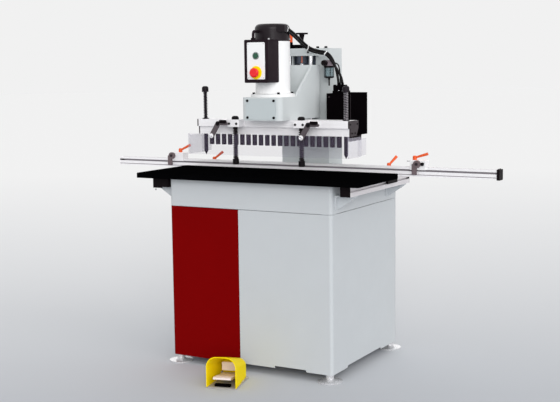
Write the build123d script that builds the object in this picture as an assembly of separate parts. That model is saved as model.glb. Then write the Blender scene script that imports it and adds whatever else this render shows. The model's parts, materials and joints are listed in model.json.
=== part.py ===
# Line boring machine: a row of drill spindles on a head that feeds down over a table.
# Millimetres, Z up, X along the spindle row, Y from the operator towards the back.
# Working zero: X on the middle of the row, Y on the cabinet front, Z on the floor.
import os
from math import atan2, cos, degrees, floor, hypot, pi, radians, sin, sqrt, tan

from build123d import *

# Drill row
PITCH = 32.0
LIVE = 5
LIVE_NAMES = ("spindle_09", "spindle_10", "spindle_11", "spindle_12", "spindle_13")
DRILL_Y = 232.0
CHUCK_R = 10.5
CHUCK_LEN = 46.0
CHUCK_BORE_R = 5.0
CHUCK_BORE_DEPTH = 22.0
SHAFT_R = 6.0
GEAR_TEETH = 16
GEAR_W = 12.0

# Cabinet and feet
CABINET_W = 794.0
CABINET_D = 666.0
CABINET_BOTTOM = 34.0
SEAM_Z = 704.0
SEAM = 2.0
SHEET = 3.0
CORNER_R = 14.0
POST = 44.0
LEFT_RETURN = 60.0
REAR_RETURN = 18.0
RED_EDGE_X = -48.0
TOE_H = 9.0
FOOT_R = 52.5
FOOT_INSET = 24.0

# Table, rails and fence
TABLE_TOP = 848.0
TABLE_T = 22.0
TABLE_W = 1082.0
TABLE_FRONT = -50.0
TABLE_REAR = 350.0
PIN_HOLE_R = 13.0
RAIL_OFFSET = 40.0
RAIL = 45.0
RAIL_LEN = 610.0
BRACKET_REACH = 84.0
FENCE_LEN = 1940.0
FENCE_FRONT = 396.0
FENCE_D = 40.0
FENCE_H = 38.0
FENCE_DROP = 14.0
SLOT_DROP = 13.0
CAP_T = 12.0
CARRIER_OFFSET = 24.0
CARRIER_W = 62.0
CARRIER_DROP = 8.0
STOP_X = {"left": -622.0, "right": 612.0}
STOP_W = 70.0
STOP_H = 31.0
STOP_LEVER_X = {"left": -616.0, "right": 591.0}
APRON_T = 8.0
HUB_X = {"left": -647.0, "right": 612.0}
HUB_R = 16.0
TONGUE_W = 22.0
FINGER_T = 12.0
FINGER_PIN_R = 5.0

# Head
CHUCK_Z = 961.0
HOUSING_GAP = 2.0
HOUSING_H = 34.0
BEAM_H = 32.0
BEAM_W = 748.0
BEAM_FRONT = 205.0
BEAM_D = 91.0
HOUSING_SET = 12.0
HOUSING_TAPER = 21.0
END_T = 6.0
GEARBOX_W = 196.0
GEARBOX_H = 100.0
GEARBOX_FRONT = 125.0
GEARBOX_REAR = 345.0
GEARBOX_R = 22.0
GEARBOX_WALL = 10.0
GUSSET_T = 12.0
GUSSET_FRONT = 255.0
GUSSET_REAR = 486.0
WEB_FRONT = 423.0
HEAD_TOP = 1311.0

# Motor and control box
FLANGE_R = 97.0
FLANGE_T = 12.0
MOTOR_R = 76.0
MOTOR_H = 227.0
COWL_H = 75.0
ROTOR_R = 50.0
DRIVE_R = 12.0
BOX_W = 116.0
BOX_D = 95.0
BOX_REACH = 142.0
BOX_Z = 1238.0
BOX_H = 182.0
START_Z = 1352.0
STOP_BUTTON_Z = 1281.0

# Column and feed
COLUMN_W = 244.0
COLUMN_D = 138.0
COLUMN_FRONT = 528.0
COLUMN_TOP = 1386.0
COLUMN_WALL = 12.0
COLUMN_LIP = 64.0
COLUMN_OPEN_Z = 1000.0
COLUMN_REAR_TOP = 1250.0
CROSSHEAD_H = 34.0
CROSS_W = 150.0
CROSS_REACH = 28.0
GUIDE_X = 54.0
GUIDE_Y = 487.0
GUIDE_R = 9.0
GUIDE_SEAT = 16.0
SHOE_H = 74.0
ROD_Y = 504.0
ROD_R = 10.0
COLLAR_R = 23.0
COLLAR_H = 34.0
CYLINDER_R = 30.0
CYLINDER_CAP = 22.0

# Pressers, index pins and guard
PRESSER_X = 165.0
PRESSER_Y = 182.0
PRESSER_R = 7.0
PRESSER_Z = 878.0
PRESSER_FOOT_R = 14.0
PRESSER_FOOT_H = 25.0
BLOCK_W = 60.0
PIN_INSET = 22.0
PIN_R = 9.0
PIN_ROD_R = 6.0
PIN_TIP_Z = 913.0
KNOB_Z = 1196.0
GUARD_SIDE = 20.0
GUARD_Y = 152.0
GUARD_T = 4.0
GUARD_Z = 921.0
GUARD_H = 92.0
WING_REAR = 285.0
STRIP_REAR = 340.0
STRIP_DROP = 8.0
ARM_INSET = 149.0
ARM_SHIFT = -8.0
ARM_RISE = 16.0
ARM_DX = -33.5
ARM_DZ = -54.0
EAR_LEN = 44.0
EAR_W = 13.0
ARM_W = 22.0
ARM_T = 7.0
ARM_SHAFT_R = 8.0

# Springs
PRESSER_COIL_R = 10.6
PRESSER_WIRE_R = 1.5
PIN_COIL_R = 8.6
PIN_WIRE_R = 1.2
SPRING_TURNS = 12

# Boxes and lines on the column side
E_BOX_X = 150.0
E_BOX_W = 106.0
E_BOX_Y = 442.0
E_BOX_D = 223.0
E_BOX_Z = 994.0
E_BOX_H = 190.0
E_BOX_R = 12.0
LID_D = 71.0
PLUG_R = 9.5
PLUG_H = 24.0
PLUG_X = (52.0, 72.0)
PLUG_Y = 26.0
AIR_X = 142.0
AIR_Y = 495.0
AIR_TOP = 1332.0
CABLE_R = 5.0
CABLE_STEP = 10.0
TUBE_R = 3.0

# Foot pedal
PEDAL_W = 129.0
PEDAL_L = 180.0
PEDAL_H = 128.0
PEDAL_TURN = 14.4
PEDAL_Y = -181.0

# Running clearances
FIT = 0.05
CLEAR = 0.35

# Places and heights that follow from the sizes above
RAIL_X = CABINET_W / 2 + RAIL_OFFSET
CARRIER_X = RAIL_X + CARRIER_OFFSET
PIN_X = BEAM_W / 2 - PIN_INSET
SPINDLES = 2 * floor((PIN_X - PITCH) / PITCH) + 1
GUARD_W = BEAM_W + 2 * (END_T + GUARD_SIDE)
TABLE_BOTTOM = TABLE_TOP - TABLE_T
CHUCK_TOP = CHUCK_Z + CHUCK_LEN
HOUSING_Z = CHUCK_TOP + HOUSING_GAP
BEAM_Z = HOUSING_Z + HOUSING_H
BEAM_TOP = BEAM_Z + BEAM_H
GEARBOX_TOP = BEAM_TOP + GEARBOX_H
MOTOR_TOP = GEARBOX_TOP + FLANGE_T + MOTOR_H
COWL_TOP = MOTOR_TOP + COWL_H
BOX_FRONT = DRILL_Y - BOX_REACH
GEAR_POCKET = PITCH / 2 + 4.0
GEAR_Z = BEAM_Z + 3.0
DRIVE_Z = GEAR_Z + GEAR_W + 5.0
FENCE_Z = TABLE_TOP - FENCE_DROP
FENCE_TOP = FENCE_Z + FENCE_H
FENCE_REAR = FENCE_FRONT + FENCE_D
CYLINDER_Z = BEAM_TOP + 9.0
CYLINDER_TOP = HEAD_TOP - 7.0
CROSSHEAD_Z = COLUMN_TOP - CROSSHEAD_H
BLOCK_Z = BEAM_Z + 2.0
BLOCK_TOP = BEAM_TOP + 2.0
PRESSER_SEAT = PRESSER_Z + PRESSER_FOOT_H
ARM_X = BEAM_W / 2 - ARM_INSET
ARM_Z = BEAM_Z + ARM_RISE
HUB_Z = FENCE_TOP + STOP_H / 2
GUIDE_Z = COLUMN_OPEN_Z
SIDES = (-1, 1)


def span(x0, x1, y0, y1, z0, z1):
    """Box between two corners."""
    middle = Pos((x0 + x1) / 2, (y0 + y1) / 2, (z0 + z1) / 2)
    return middle * Box(abs(x1 - x0), y1 - y0, z1 - z0)


def rod(start, direction, radius, length):
    """Round bar from a start point along a direction."""
    base = Plane(origin=start, z_dir=direction)
    return base * Cylinder(radius, length, align=(Align.CENTER, Align.CENTER, Align.MIN))


def lathe(profile, x=0.0, y=0.0):
    """Turned piece about a vertical line, from (radius, height) points."""
    outline = Polyline(*[(r, 0, z) for r, z in profile], close=True)
    return Pos(x, y, 0) * revolve(make_face(outline), Axis.Z)


def plate_yz(points, x0, x1):
    """Flat plate with a (y, z) outline, between two X values."""
    face = make_face(Polyline(*points, close=True))
    return extrude(Plane.YZ.offset(min(x0, x1)) * face, abs(x1 - x0))


def plate_xz(points, y0, y1):
    """Flat plate with an (x, z) outline, between two Y values."""
    face = make_face(Polyline(*points, close=True))
    return extrude(Plane.XZ.offset(-y1) * face, y1 - y0)


def rounded(width, depth, radius, y_mid, z0, z1):
    """Upright block with rounded corners, centred on X = 0."""
    return Pos(0, y_mid, z0) * extrude(RectangleRounded(width, depth, radius), z1 - z0)


def coil(radius, wire, z0, z1, x, y, sides=4):
    """Coil spring as one tube on pairs of arcs, two pairs to a turn."""
    pairs = 2 * SPRING_TURNS
    climb = (z1 - z0 - 2 * wire) / (2 * pi * SPRING_TURNS)
    edges = []
    points, ways = [], []
    for k in range(pairs + 1):
        c = radius * cos(k * pi)
        d = radius * sin(k * pi)
        points.append(Vector(c, d, climb * k * pi))
        ways.append(Vector(-d, c, climb).normalized())
    for k in range(pairs):
        start, end = points[k], points[k + 1]
        t0, t1 = ways[k], ways[k + 1]
        v = end - start
        t = t0 + t1
        bend = 2 * (1 - t0.dot(t1))
        reach = (-v.dot(t) + sqrt(v.dot(t) ** 2 + bend * v.dot(v))) / bend
        q0 = start + t0 * reach
        q1 = end - t1 * reach
        middle = (q0 + q1) * 0.5
        edges.append(TangentArc(start, middle, tangent=t0))
        edges.append(TangentArc(middle, end, tangent=q1 - q0))
    section = Plane(origin=points[0], z_dir=ways[0]) * RegularPolygon(wire, sides)
    tube = sweep(section, path=Wire([e.edge() for e in edges]))
    print("spring gap between turns:", round(2 * pi * climb - 2 * wire, 2))
    return Pos(x, y, z0 + wire) * tube


def lever(x, y, z, turn, rise, length):
    """Clamping lever: a hub on a vertical screw and a handle that rises from it."""
    hub = lathe([(0, z), (9, z), (9, z + 14), (6, z + 18), (0, z + 18)], x, y)
    flat = cos(radians(rise))
    way = Vector(cos(radians(turn)) * flat, sin(radians(turn)) * flat, sin(radians(rise)))
    base = Plane(origin=(x, y, z + 9), z_dir=way)
    handle = base * Cone(4.5, 6.5, length, align=(Align.CENTER, Align.CENTER, Align.MIN))
    return hub + handle


def gear_outline(phase):
    """Flat-sided spur gear outline on the spindle pitch."""
    points = []
    step = 2 * pi / GEAR_TEETH
    root = PITCH / 2 - 2.3
    tip = PITCH / 2 + 1.7
    for tooth in range(GEAR_TEETH):
        middle = phase + tooth * step
        for radius, share in ((root, -0.34), (tip, -0.12), (tip, 0.12), (root, 0.34)):
            angle = middle + share * step
            points.append((radius * cos(angle), radius * sin(angle)))
    return Polyline(*points, close=True)


def cabinet_skin():
    """Sheet ring below the seam that the panels are cut from."""
    mid = CABINET_D / 2
    top = SEAM_Z - SEAM / 2
    outer = rounded(CABINET_W, CABINET_D, CORNER_R, mid, CABINET_BOTTOM, top)
    inside = (CABINET_W - 2 * SHEET, CABINET_D - 2 * SHEET, CORNER_R - SHEET, mid)
    return outer - rounded(*inside, CABINET_BOTTOM, top)


def cabinet_panels():
    """Red front panel, grey wrap of the front and right side, and the back wrap."""
    skin = cabinet_skin()
    wide = CABINET_W
    high = SEAM_Z + 50
    rear = CABINET_D - REAR_RETURN
    red = skin & span(-wide, RED_EDGE_X - SEAM / 2, -10, LEFT_RETURN, 0, high)
    grey = skin & span(RED_EDGE_X + SEAM / 2, wide, -10, rear, 0, high)
    left = span(-wide, 0, LEFT_RETURN + SEAM, CABINET_D + 10, 0, high)
    back = skin & (left + span(-wide, wide, rear + SEAM, CABINET_D + 10, 0, high))
    half = CABINET_W / 2
    toe = CABINET_BOTTOM + TOE_H
    grey -= span(0.31 * half, 0.69 * half, -10, 10, 0, toe)
    grey -= span(half - 10, half + 10, 0.22 * CABINET_D, 0.74 * CABINET_D, 0, toe)
    return red, grey, back


def cabinet_frame():
    """Apron, top plate, four corner posts and the bottom bars, welded."""
    mid = CABINET_D / 2
    low = SEAM_Z + SEAM / 2
    inside = (CABINET_W - 2 * SHEET, CABINET_D - 2 * SHEET, CORNER_R - SHEET, mid)
    frame = rounded(CABINET_W, CABINET_D, CORNER_R, mid, low, TABLE_BOTTOM)
    frame -= rounded(*inside, low, TABLE_BOTTOM - 6)
    x1 = CABINET_W / 2 - SHEET
    x0 = x1 - POST
    cut = CORNER_R - SHEET
    for side in SIDES:
        for y1, y0 in ((SHEET, SHEET + POST), (CABINET_D - SHEET, CABINET_D - SHEET - POST)):
            turn = 1 if y0 > y1 else -1
            outline = [(side * x0, y0), (side * x0, y1), (side * (x1 - cut), y1)]
            outline += [(side * x1, y1 + turn * cut), (side * x1, y0)]
            post = make_face(Polyline(*outline, close=True))
            frame += Pos(0, 0, CABINET_BOTTOM) * extrude(post, TABLE_BOTTOM - 3 - CABINET_BOTTOM)
        z0 = CABINET_BOTTOM + 16
        frame += span(side * x0, side * x1, SHEET + POST, CABINET_D - SHEET - POST, z0, z0 + 30)
    for y0 in (SHEET, CABINET_D - SHEET - POST):
        frame += span(-x0, x0, y0, y0 + POST, z0, z0 + 30)
    for side in SIDES:
        frame -= rod((side * PIN_X, DRILL_Y, SEAM_Z), (0, 0, 1), PIN_HOLE_R, TABLE_TOP - SEAM_Z)
    return frame


def levelling_feet():
    """Four round pads on studs."""
    top = CABINET_BOTTOM
    profile = [(0, 0), (FOOT_R, 0), (FOOT_R, 7), (17, 15), (17, top), (0, top)]
    x = CABINET_W / 2 - FOOT_INSET
    return [lathe(profile, side * x, y) for side in SIDES for y in (FOOT_INSET, CABINET_D - FOOT_INSET)]


def table_top():
    """Table slab with the two pin holes and the drill run-out groove."""
    slab = span(-TABLE_W / 2, TABLE_W / 2, TABLE_FRONT, TABLE_REAR, TABLE_BOTTOM, TABLE_TOP)
    slab = fillet(slab.edges().filter_by(Axis.Z), 8)
    slab = chamfer(slab.edges().group_by(Axis.Z)[-1], 2)
    row = PITCH * (SPINDLES - 1) / 2 + 8
    slab -= span(-row, row, DRILL_Y - 8, DRILL_Y + 8, TABLE_TOP - 6, TABLE_TOP + 1)
    for side in SIDES:
        slab -= rod((side * PIN_X, DRILL_Y, TABLE_BOTTOM - 1), (0, 0, 1), PIN_HOLE_R, TABLE_T + 2)
    return slab


def side_rails():
    """Slotted rail under each end of the table."""
    rails = []
    z0 = TABLE_BOTTOM - RAIL
    mid = TABLE_BOTTOM - RAIL / 2
    for side in SIDES:
        outer = RAIL_X + RAIL
        rail = span(side * RAIL_X, side * outer, 0, RAIL_LEN, z0, TABLE_BOTTOM)
        rail -= span(side * (outer - 4), side * (outer + 1), -1, RAIL_LEN + 1, mid - 4, mid + 4)
        rail -= span(side * (outer - 12), side * (outer - 4), -1, RAIL_LEN + 1, mid - 9, mid + 9)
        rails.append(rail)
    return rails


def rail_brackets():
    """Triangular brackets that carry the rails on the cabinet sides."""
    brackets = []
    x0 = CABINET_W / 2
    x1 = x0 + BRACKET_REACH
    top = TABLE_BOTTOM - RAIL
    drop = 57.0
    for side in SIDES:
        for y in (50.0, RAIL_LEN - 56):
            web = [(side * x0, top), (side * x1, top), (side * x1, top - 8), (side * (x0 + 8), top - drop)]
            bracket = plate_xz(web + [(side * x0, top - drop)], y, y + 6)
            bracket += span(side * x0, side * x1, y - 17, y + 23, top - 5, top)
            bracket += span(side * x0, side * (x0 + 5), y - 17, y + 23, top - drop, top)
            brackets.append(bracket)
    return brackets


def column():
    """Welded column, open in front of the cylinder, with the crosshead on top."""
    half = COLUMN_W / 2
    wall = COLUMN_WALL
    front = COLUMN_FRONT
    rear = front + COLUMN_D
    low = COLUMN_OPEN_Z
    post = span(-half - 28, half + 28, front - 10, rear, TABLE_BOTTOM, TABLE_BOTTOM + 16)
    post += span(-half, half, front, front + wall, TABLE_BOTTOM, low)
    post += span(-half, half, rear - wall, rear, TABLE_BOTTOM, COLUMN_REAR_TOP)
    for side in SIDES:
        post += span(side * (half - wall), side * half, front, rear, TABLE_BOTTOM, COLUMN_TOP)
        post += span(side * (half - COLUMN_LIP), side * half, front, front + wall, low, CROSSHEAD_Z)
    post += span(-half, half, front, front + 72, CROSSHEAD_Z, COLUMN_TOP)
    cross = CROSS_W / 2
    post += span(-cross, cross, ROD_Y - CROSS_REACH, front, CROSSHEAD_Z, COLUMN_TOP)
    post += span(-cross, cross, ROD_Y - CROSS_REACH, front, GUIDE_Z - GUIDE_SEAT, GUIDE_Z)
    collar = CROSSHEAD_Z - COLLAR_H
    post += rod((0, ROD_Y, collar), (0, 0, 1), COLLAR_R, COLLAR_H)
    return post - rod((0, ROD_Y, collar - 1), (0, 0, 1), ROD_R, CROSSHEAD_H + COLLAR_H + 2)


def guide_rails():
    """Two upright round rails between the crosshead and the lower seat, that the head runs on."""
    high = CROSSHEAD_Z - GUIDE_Z
    return [rod((side * GUIDE_X, GUIDE_Y, GUIDE_Z), (0, 0, 1), GUIDE_R, high) for side in SIDES]


def piston_rod():
    """Feed rod hung from the crosshead, with its piston inside the cylinder."""
    z0 = CYLINDER_Z + CYLINDER_CAP + 6
    piston = CYLINDER_R - 5 - CLEAR
    profile = [(0, z0), (piston, z0), (piston, z0 + 18), (ROD_R, z0 + 18)]
    return lathe(profile + [(ROD_R, COLUMN_TOP), (0, COLUMN_TOP)], 0, ROD_Y)


def feed_cylinder():
    """Cylinder barrel between two square end caps, carried by the head."""
    cap = CYLINDER_R + 3
    low = CYLINDER_Z + CYLINDER_CAP
    high = CYLINDER_TOP - CYLINDER_CAP
    body = span(-cap, cap, ROD_Y - cap, ROD_Y + cap, CYLINDER_Z, low)
    body += span(-cap, cap, ROD_Y - cap, ROD_Y + cap, high, CYLINDER_TOP)
    body += rod((0, ROD_Y, low), (0, 0, 1), CYLINDER_R, high - low)
    body -= rod((0, ROD_Y, low), (0, 0, 1), CYLINDER_R - 5, high - low)
    return body - rod((0, ROD_Y, high), (0, 0, 1), ROD_R + CLEAR, CYLINDER_CAP + 1)


def head_casting():
    """Gearbox, side gussets, back web and the bushes that run on the guide rails."""
    half = GEARBOX_W / 2
    wall = GEARBOX_WALL
    z0 = BEAM_TOP
    rear = GEARBOX_REAR
    box = span(-half, half, GEARBOX_FRONT, rear, z0, GEARBOX_TOP)
    box = fillet(box.edges().filter_by(Axis.Z).group_by(Axis.Y)[0], GEARBOX_R)
    box -= span(wall - half, half - wall, GEARBOX_FRONT + wall, rear - wall, z0 + wall, GEARBOX_TOP - wall)
    window = half - GEARBOX_R - 10
    box -= span(-window, window, GEARBOX_FRONT - 1, GEARBOX_FRONT + wall, z0 + 16, GEARBOX_TOP - 16)
    box -= rod((0, DRILL_Y, z0 - 1), (0, 0, 1), DRIVE_R + 6, wall + 2)
    box -= rod((0, DRILL_Y, GEARBOX_TOP - wall - 1), (0, 0, 1), 40, wall + 2)
    front = GUSSET_FRONT
    outline = [(front, z0), (front, GEARBOX_TOP), (front + 7, GEARBOX_TOP), (WEB_FRONT, HEAD_TOP)]
    outline += [(GUSSET_REAR, HEAD_TOP), (GUSSET_REAR, z0)]
    shoe_x = GUIDE_X - GUIDE_R - 9
    for side in SIDES:
        inner = half - GUSSET_T
        box += plate_yz(outline, side * inner, side * half)
        for low in (z0 + 8, HEAD_TOP - SHOE_H - 8):
            shoe = span(side * shoe_x, side * (inner + 2), GUIDE_Y - 16, GUIDE_Y + 16, low, low + SHOE_H)
            bore = rod((side * GUIDE_X, GUIDE_Y, low - 1), (0, 0, 1), GUIDE_R + CLEAR, SHOE_H + 2)
            box += shoe - bore
    box += span(-half, half, WEB_FRONT, WEB_FRONT + GUSSET_T, z0, HEAD_TOP)
    box -= rod((0, DRILL_Y, GEARBOX_TOP), (0, 0, 1), FLANGE_R + 1, FLANGE_T + 6)
    seat = ROD_Y - CYLINDER_R - 3
    for low in (CYLINDER_Z, CYLINDER_TOP - CYLINDER_CAP):
        box += span(-20, 20, WEB_FRONT + GUSSET_T, seat, low, low + CYLINDER_CAP)
    return box


def gearbox_cover():
    """Flat cover on the front of the gearbox."""
    w = GEARBOX_W - 2 * GEARBOX_R - 4
    face = RectangleRounded(w, GEARBOX_H - 10, 5)
    place = Plane.XZ.offset(-GEARBOX_FRONT)
    return extrude(place * Pos(0, (BEAM_TOP + GEARBOX_TOP) / 2) * face, 4)


def head_beam():
    """Beam along the row, with the gear pocket in its underside and bosses for the guard arms."""
    half = BEAM_W / 2
    beam = span(-half, half, BEAM_FRONT, BEAM_FRONT + BEAM_D, BEAM_Z, BEAM_TOP)
    reach = PITCH * LIVE / 2 + 8
    beam -= span(-reach, reach, DRILL_Y - GEAR_POCKET, DRILL_Y + GEAR_POCKET, BEAM_Z - 1, DRIVE_Z - 1)
    beam -= rod((0, DRILL_Y, BEAM_Z - 1), (0, 0, 1), DRIVE_R + 3, BEAM_H + 2)
    for side in SIDES:
        beam -= rod((side * PIN_X, DRILL_Y, BEAM_Z - 1), (0, 0, 1), PIN_ROD_R + FIT, BEAM_H + 2)
        x = ARM_SHIFT + side * ARM_X
        beam += span(x - 14, x + 14, BEAM_FRONT - 16, BEAM_FRONT, ARM_Z - 13, ARM_Z + 13)
        beam -= rod((x, BEAM_FRONT - 17, ARM_Z), (0, 1, 0), ARM_SHAFT_R + FIT, 16)
    return beam


def spindle_x():
    """X of every spindle, left to right."""
    return [PITCH * (k - (SPINDLES - 1) / 2) for k in range(SPINDLES)]


def spindle_housing():
    """Bearing housing of the row, set back under the beam."""
    half = BEAM_W / 2
    front = BEAM_FRONT + HOUSING_SET
    rear = BEAM_FRONT + BEAM_D
    outline = [(front, BEAM_Z), (front, HOUSING_Z), (rear - HOUSING_TAPER, HOUSING_Z), (rear - 6, BEAM_Z)]
    case = plate_yz(outline, -half, half)
    first = (SPINDLES - LIVE) // 2
    for x in spindle_x()[first:first + LIVE]:
        case -= rod((x, DRILL_Y, HOUSING_Z - 1), (0, 0, 1), SHAFT_R + CLEAR, HOUSING_H + 2)
    for side in SIDES:
        case -= rod((side * PIN_X, DRILL_Y, HOUSING_Z - 1), (0, 0, 1), PIN_ROD_R + FIT, HOUSING_H + 2)
    return case


def end_plates():
    """Dark plates over both ends of the beam and the housing."""
    y0 = BEAM_FRONT
    y1 = BEAM_FRONT + BEAM_D
    step = y0 + HOUSING_SET
    outline = [(y0, BEAM_TOP), (y1, BEAM_TOP), (y1, BEAM_Z), (y1 - HOUSING_TAPER, HOUSING_Z)]
    outline += [(step, HOUSING_Z), (step, BEAM_Z), (y0, BEAM_Z)]
    half = BEAM_W / 2
    return [plate_yz(outline, side * half, side * (half + END_T)) for side in SIDES]


def spindle(x, live=False, phase=0.0, shaft_top=GEAR_Z + GEAR_W + 2):
    """Chuck and shaft, with a gear where the spindle turns."""
    r = CHUCK_R
    z0 = CHUCK_Z
    deep = z0 + CHUCK_BORE_DEPTH
    bore = CHUCK_BORE_R
    profile = [(0, deep), (bore, deep), (bore, z0), (r - 1.5, z0), (r, z0 + 1.5)]
    if not live:
        return lathe(profile + [(r, HOUSING_Z), (0, HOUSING_Z)], x, DRILL_Y)
    profile += [(r, CHUCK_TOP), (SHAFT_R, CHUCK_TOP), (SHAFT_R, shaft_top), (0, shaft_top)]
    body = lathe(profile, x, DRILL_Y)
    gear = extrude(Pos(x, DRILL_Y, GEAR_Z) * make_face(gear_outline(phase)), GEAR_W)
    return body + gear


def motor_body():
    """Flange motor: end shields and wound body as one hollow turned piece."""
    z0 = GEARBOX_TOP
    z1 = z0 + FLANGE_T
    bore = ROTOR_R + 2
    hole = DRIVE_R + 1
    profile = [(hole, z0 - 8), (39, z0 - 8), (39, z0), (FLANGE_R, z0), (FLANGE_R, z1), (MOTOR_R, z1 + 4)]
    profile += [(MOTOR_R, MOTOR_TOP), (hole, MOTOR_TOP), (hole, MOTOR_TOP - 8), (bore, MOTOR_TOP - 8)]
    profile += [(bore, z1 + 8), (hole, z1 + 8)]
    return lathe(profile, 0, DRILL_Y)


def fan_cowl():
    """Domed sheet cowl over the fan with air slots in its top and a cable gland at its side."""
    t = 3.0
    outer = rod((0, DRILL_Y, MOTOR_TOP), (0, 0, 1), MOTOR_R, COWL_H)
    outer = fillet(outer.edges().group_by(Axis.Z)[-1], 22)
    inner = rod((0, DRILL_Y, MOTOR_TOP), (0, 0, 1), MOTOR_R - t, COWL_H - t)
    inner = chamfer(inner.edges().group_by(Axis.Z)[-1], 15)
    gland = span(MOTOR_R - 24, MOTOR_R + 16, DRILL_Y - 56, DRILL_Y - 32, COWL_TOP - 36, COWL_TOP - 8)
    cowl = outer + gland - inner
    for k in range(10):
        slot = Pos(0, DRILL_Y, 0) * Rot(0, 0, 36 * k) * span(20, 48, -3, 3, COWL_TOP - 10, COWL_TOP + 1)
        cowl -= slot
    return cowl


def motor_rotor():
    """Rotor, fan and drive shaft, with a socket for the middle spindle."""
    z0 = DRIVE_Z
    socket = SHAFT_R + CLEAR
    fan_z = MOTOR_TOP + 14
    fan_r = MOTOR_R - 12
    core0 = GEARBOX_TOP + FLANGE_T + 26
    core1 = MOTOR_TOP - 28
    profile = [(0, z0 + 16), (socket, z0 + 16), (socket, z0), (DRIVE_R, z0), (DRIVE_R, core0)]
    profile += [(ROTOR_R, core0), (ROTOR_R, core1), (DRIVE_R, core1), (DRIVE_R, fan_z), (fan_r, fan_z)]
    profile += [(fan_r, fan_z + 3), (DRIVE_R, fan_z + 3), (DRIVE_R, fan_z + 28), (0, fan_z + 28)]
    rotor = lathe(profile, 0, DRILL_Y)
    for k in range(6):
        blade = span(10, fan_r - 2, -1.5, 1.5, fan_z + 2, fan_z + 24)
        rotor += Pos(0, DRILL_Y, 0) * Rot(0, 0, 60 * k) * blade
    return rotor


def control_box():
    """Push-button box that fits round the front of the motor, with a conduit elbow to the cowl."""
    half = BOX_W / 2
    top = BOX_Z + BOX_H
    box = span(-half, half, BOX_FRONT, BOX_FRONT + BOX_D, BOX_Z, top)
    box = fillet(box.edges().filter_by(Axis.Y), 5)
    box -= rod((0, BOX_FRONT - 1, START_Z), (0, 1, 0), 11 + CLEAR, 25)
    box -= rod((0, BOX_FRONT - 1, STOP_BUTTON_Z), (0, 1, 0), 9 + CLEAR, 25)
    x = -half + 30
    y = BOX_FRONT + 26
    box += rod((x, y, top - 1), (0, 0, 1), 10, 9)
    path = FilletPolyline((x, y, top), (x, y, top + 36), (x - 14, DRILL_Y - 40, top + 36), radius=15)
    box += sweep(Plane(origin=path @ 0, z_dir=path % 0) * Circle(6), path=path)
    return box - rod((0, DRILL_Y, BOX_Z - 1), (0, 0, 1), MOTOR_R + FIT, BOX_H + COWL_H)


def start_button():
    """Round push button."""
    return rod((0, BOX_FRONT - 7, START_Z), (0, 1, 0), 11, 22)


def emergency_button():
    """Mushroom button on a stem."""
    head = rod((0, BOX_FRONT - 27, STOP_BUTTON_Z), (0, 1, 0), 20, 12)
    head = chamfer(head.edges().group_by(Axis.Y)[0], 4)
    return head + rod((0, BOX_FRONT - 15, STOP_BUTTON_Z), (0, 1, 0), 9, 30)


def presser_blocks():
    """Guide blocks of the pressers on the beam front."""
    blocks = []
    front = PRESSER_Y - 22
    for side in SIDES:
        x = side * PRESSER_X
        block = span(x - BLOCK_W / 2, x + BLOCK_W / 2, front, BEAM_FRONT, BLOCK_Z, BLOCK_TOP)
        block = chamfer(block.edges().filter_by(Axis.Z).group_by(Axis.Y)[0], 3)
        block -= rod((x, PRESSER_Y, BLOCK_Z - 1), (0, 0, 1), PRESSER_R + FIT, 60)
        blocks.append(block)
    return blocks


def presser(side):
    """Presser rod with its foot and its top nut."""
    r = PRESSER_R
    foot = PRESSER_FOOT_R
    z0 = PRESSER_Z
    top = BLOCK_TOP + CLEAR
    profile = [(0, z0), (foot - 2, z0), (foot, z0 + 2), (foot, PRESSER_SEAT), (r, PRESSER_SEAT), (r, top)]
    cap = rod((side * PRESSER_X, PRESSER_Y, top), (0, 0, 1), 16, 15)
    cap = fillet(cap.edges().group_by(Axis.Z)[-1], 10)
    return cap + lathe(profile + [(0, top)], side * PRESSER_X, PRESSER_Y)


def index_pin(side):
    """Sprung index pin with its knob."""
    shoulder = HOUSING_Z - 0.5
    profile = [(0, PIN_TIP_Z), (PIN_R, PIN_TIP_Z + 18), (PIN_R, shoulder), (PIN_ROD_R, shoulder)]
    knob = rod((side * PIN_X, DRILL_Y, KNOB_Z), (0, 0, 1), 15, 26)
    knob = fillet(knob.edges().group_by(Axis.Z)[-1], 10)
    return knob + lathe(profile + [(PIN_ROD_R, KNOB_Z), (0, KNOB_Z)], side * PIN_X, DRILL_Y)


def guard_shield():
    """Clear bent guard with a strip that lengthens each wing."""
    half = GUARD_W / 2
    t = GUARD_T
    top = GUARD_Z + GUARD_H
    wing_top = HOUSING_Z - 3
    bent = span(-half, half, GUARD_Y, WING_REAR, GUARD_Z, top)
    bent = fillet(bent.edges().filter_by(Axis.Z).group_by(Axis.Y)[0], 9)
    hollow = span(t - half, half - t, GUARD_Y + t, WING_REAR + 30, GUARD_Z - 1, top + 1)
    hollow = fillet(hollow.edges().filter_by(Axis.Z).group_by(Axis.Y)[0], 9 - t)
    bent -= hollow
    bent -= span(-half - 1, half + 1, GUARD_Y + 16, WING_REAR + 1, wing_top, top + 1)
    low = ARM_Z + ARM_DZ
    x = ARM_SHIFT + ARM_DX
    bent -= rod((x - ARM_X, GUARD_Y - 1, low), (0, 1, 0), 4 + FIT, 10)
    bent -= rod((x + ARM_X, GUARD_Y - 1, low), (0, 1, 0), 4 + CLEAR, 10)
    pieces = [bent]
    strip = (WING_REAR - 24, STRIP_REAR, GUARD_Z + 4, wing_top - STRIP_DROP)
    for side in SIDES:
        pieces.append(span(side * (half - 2 * t), side * (half - t), *strip))
    return pieces


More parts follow.
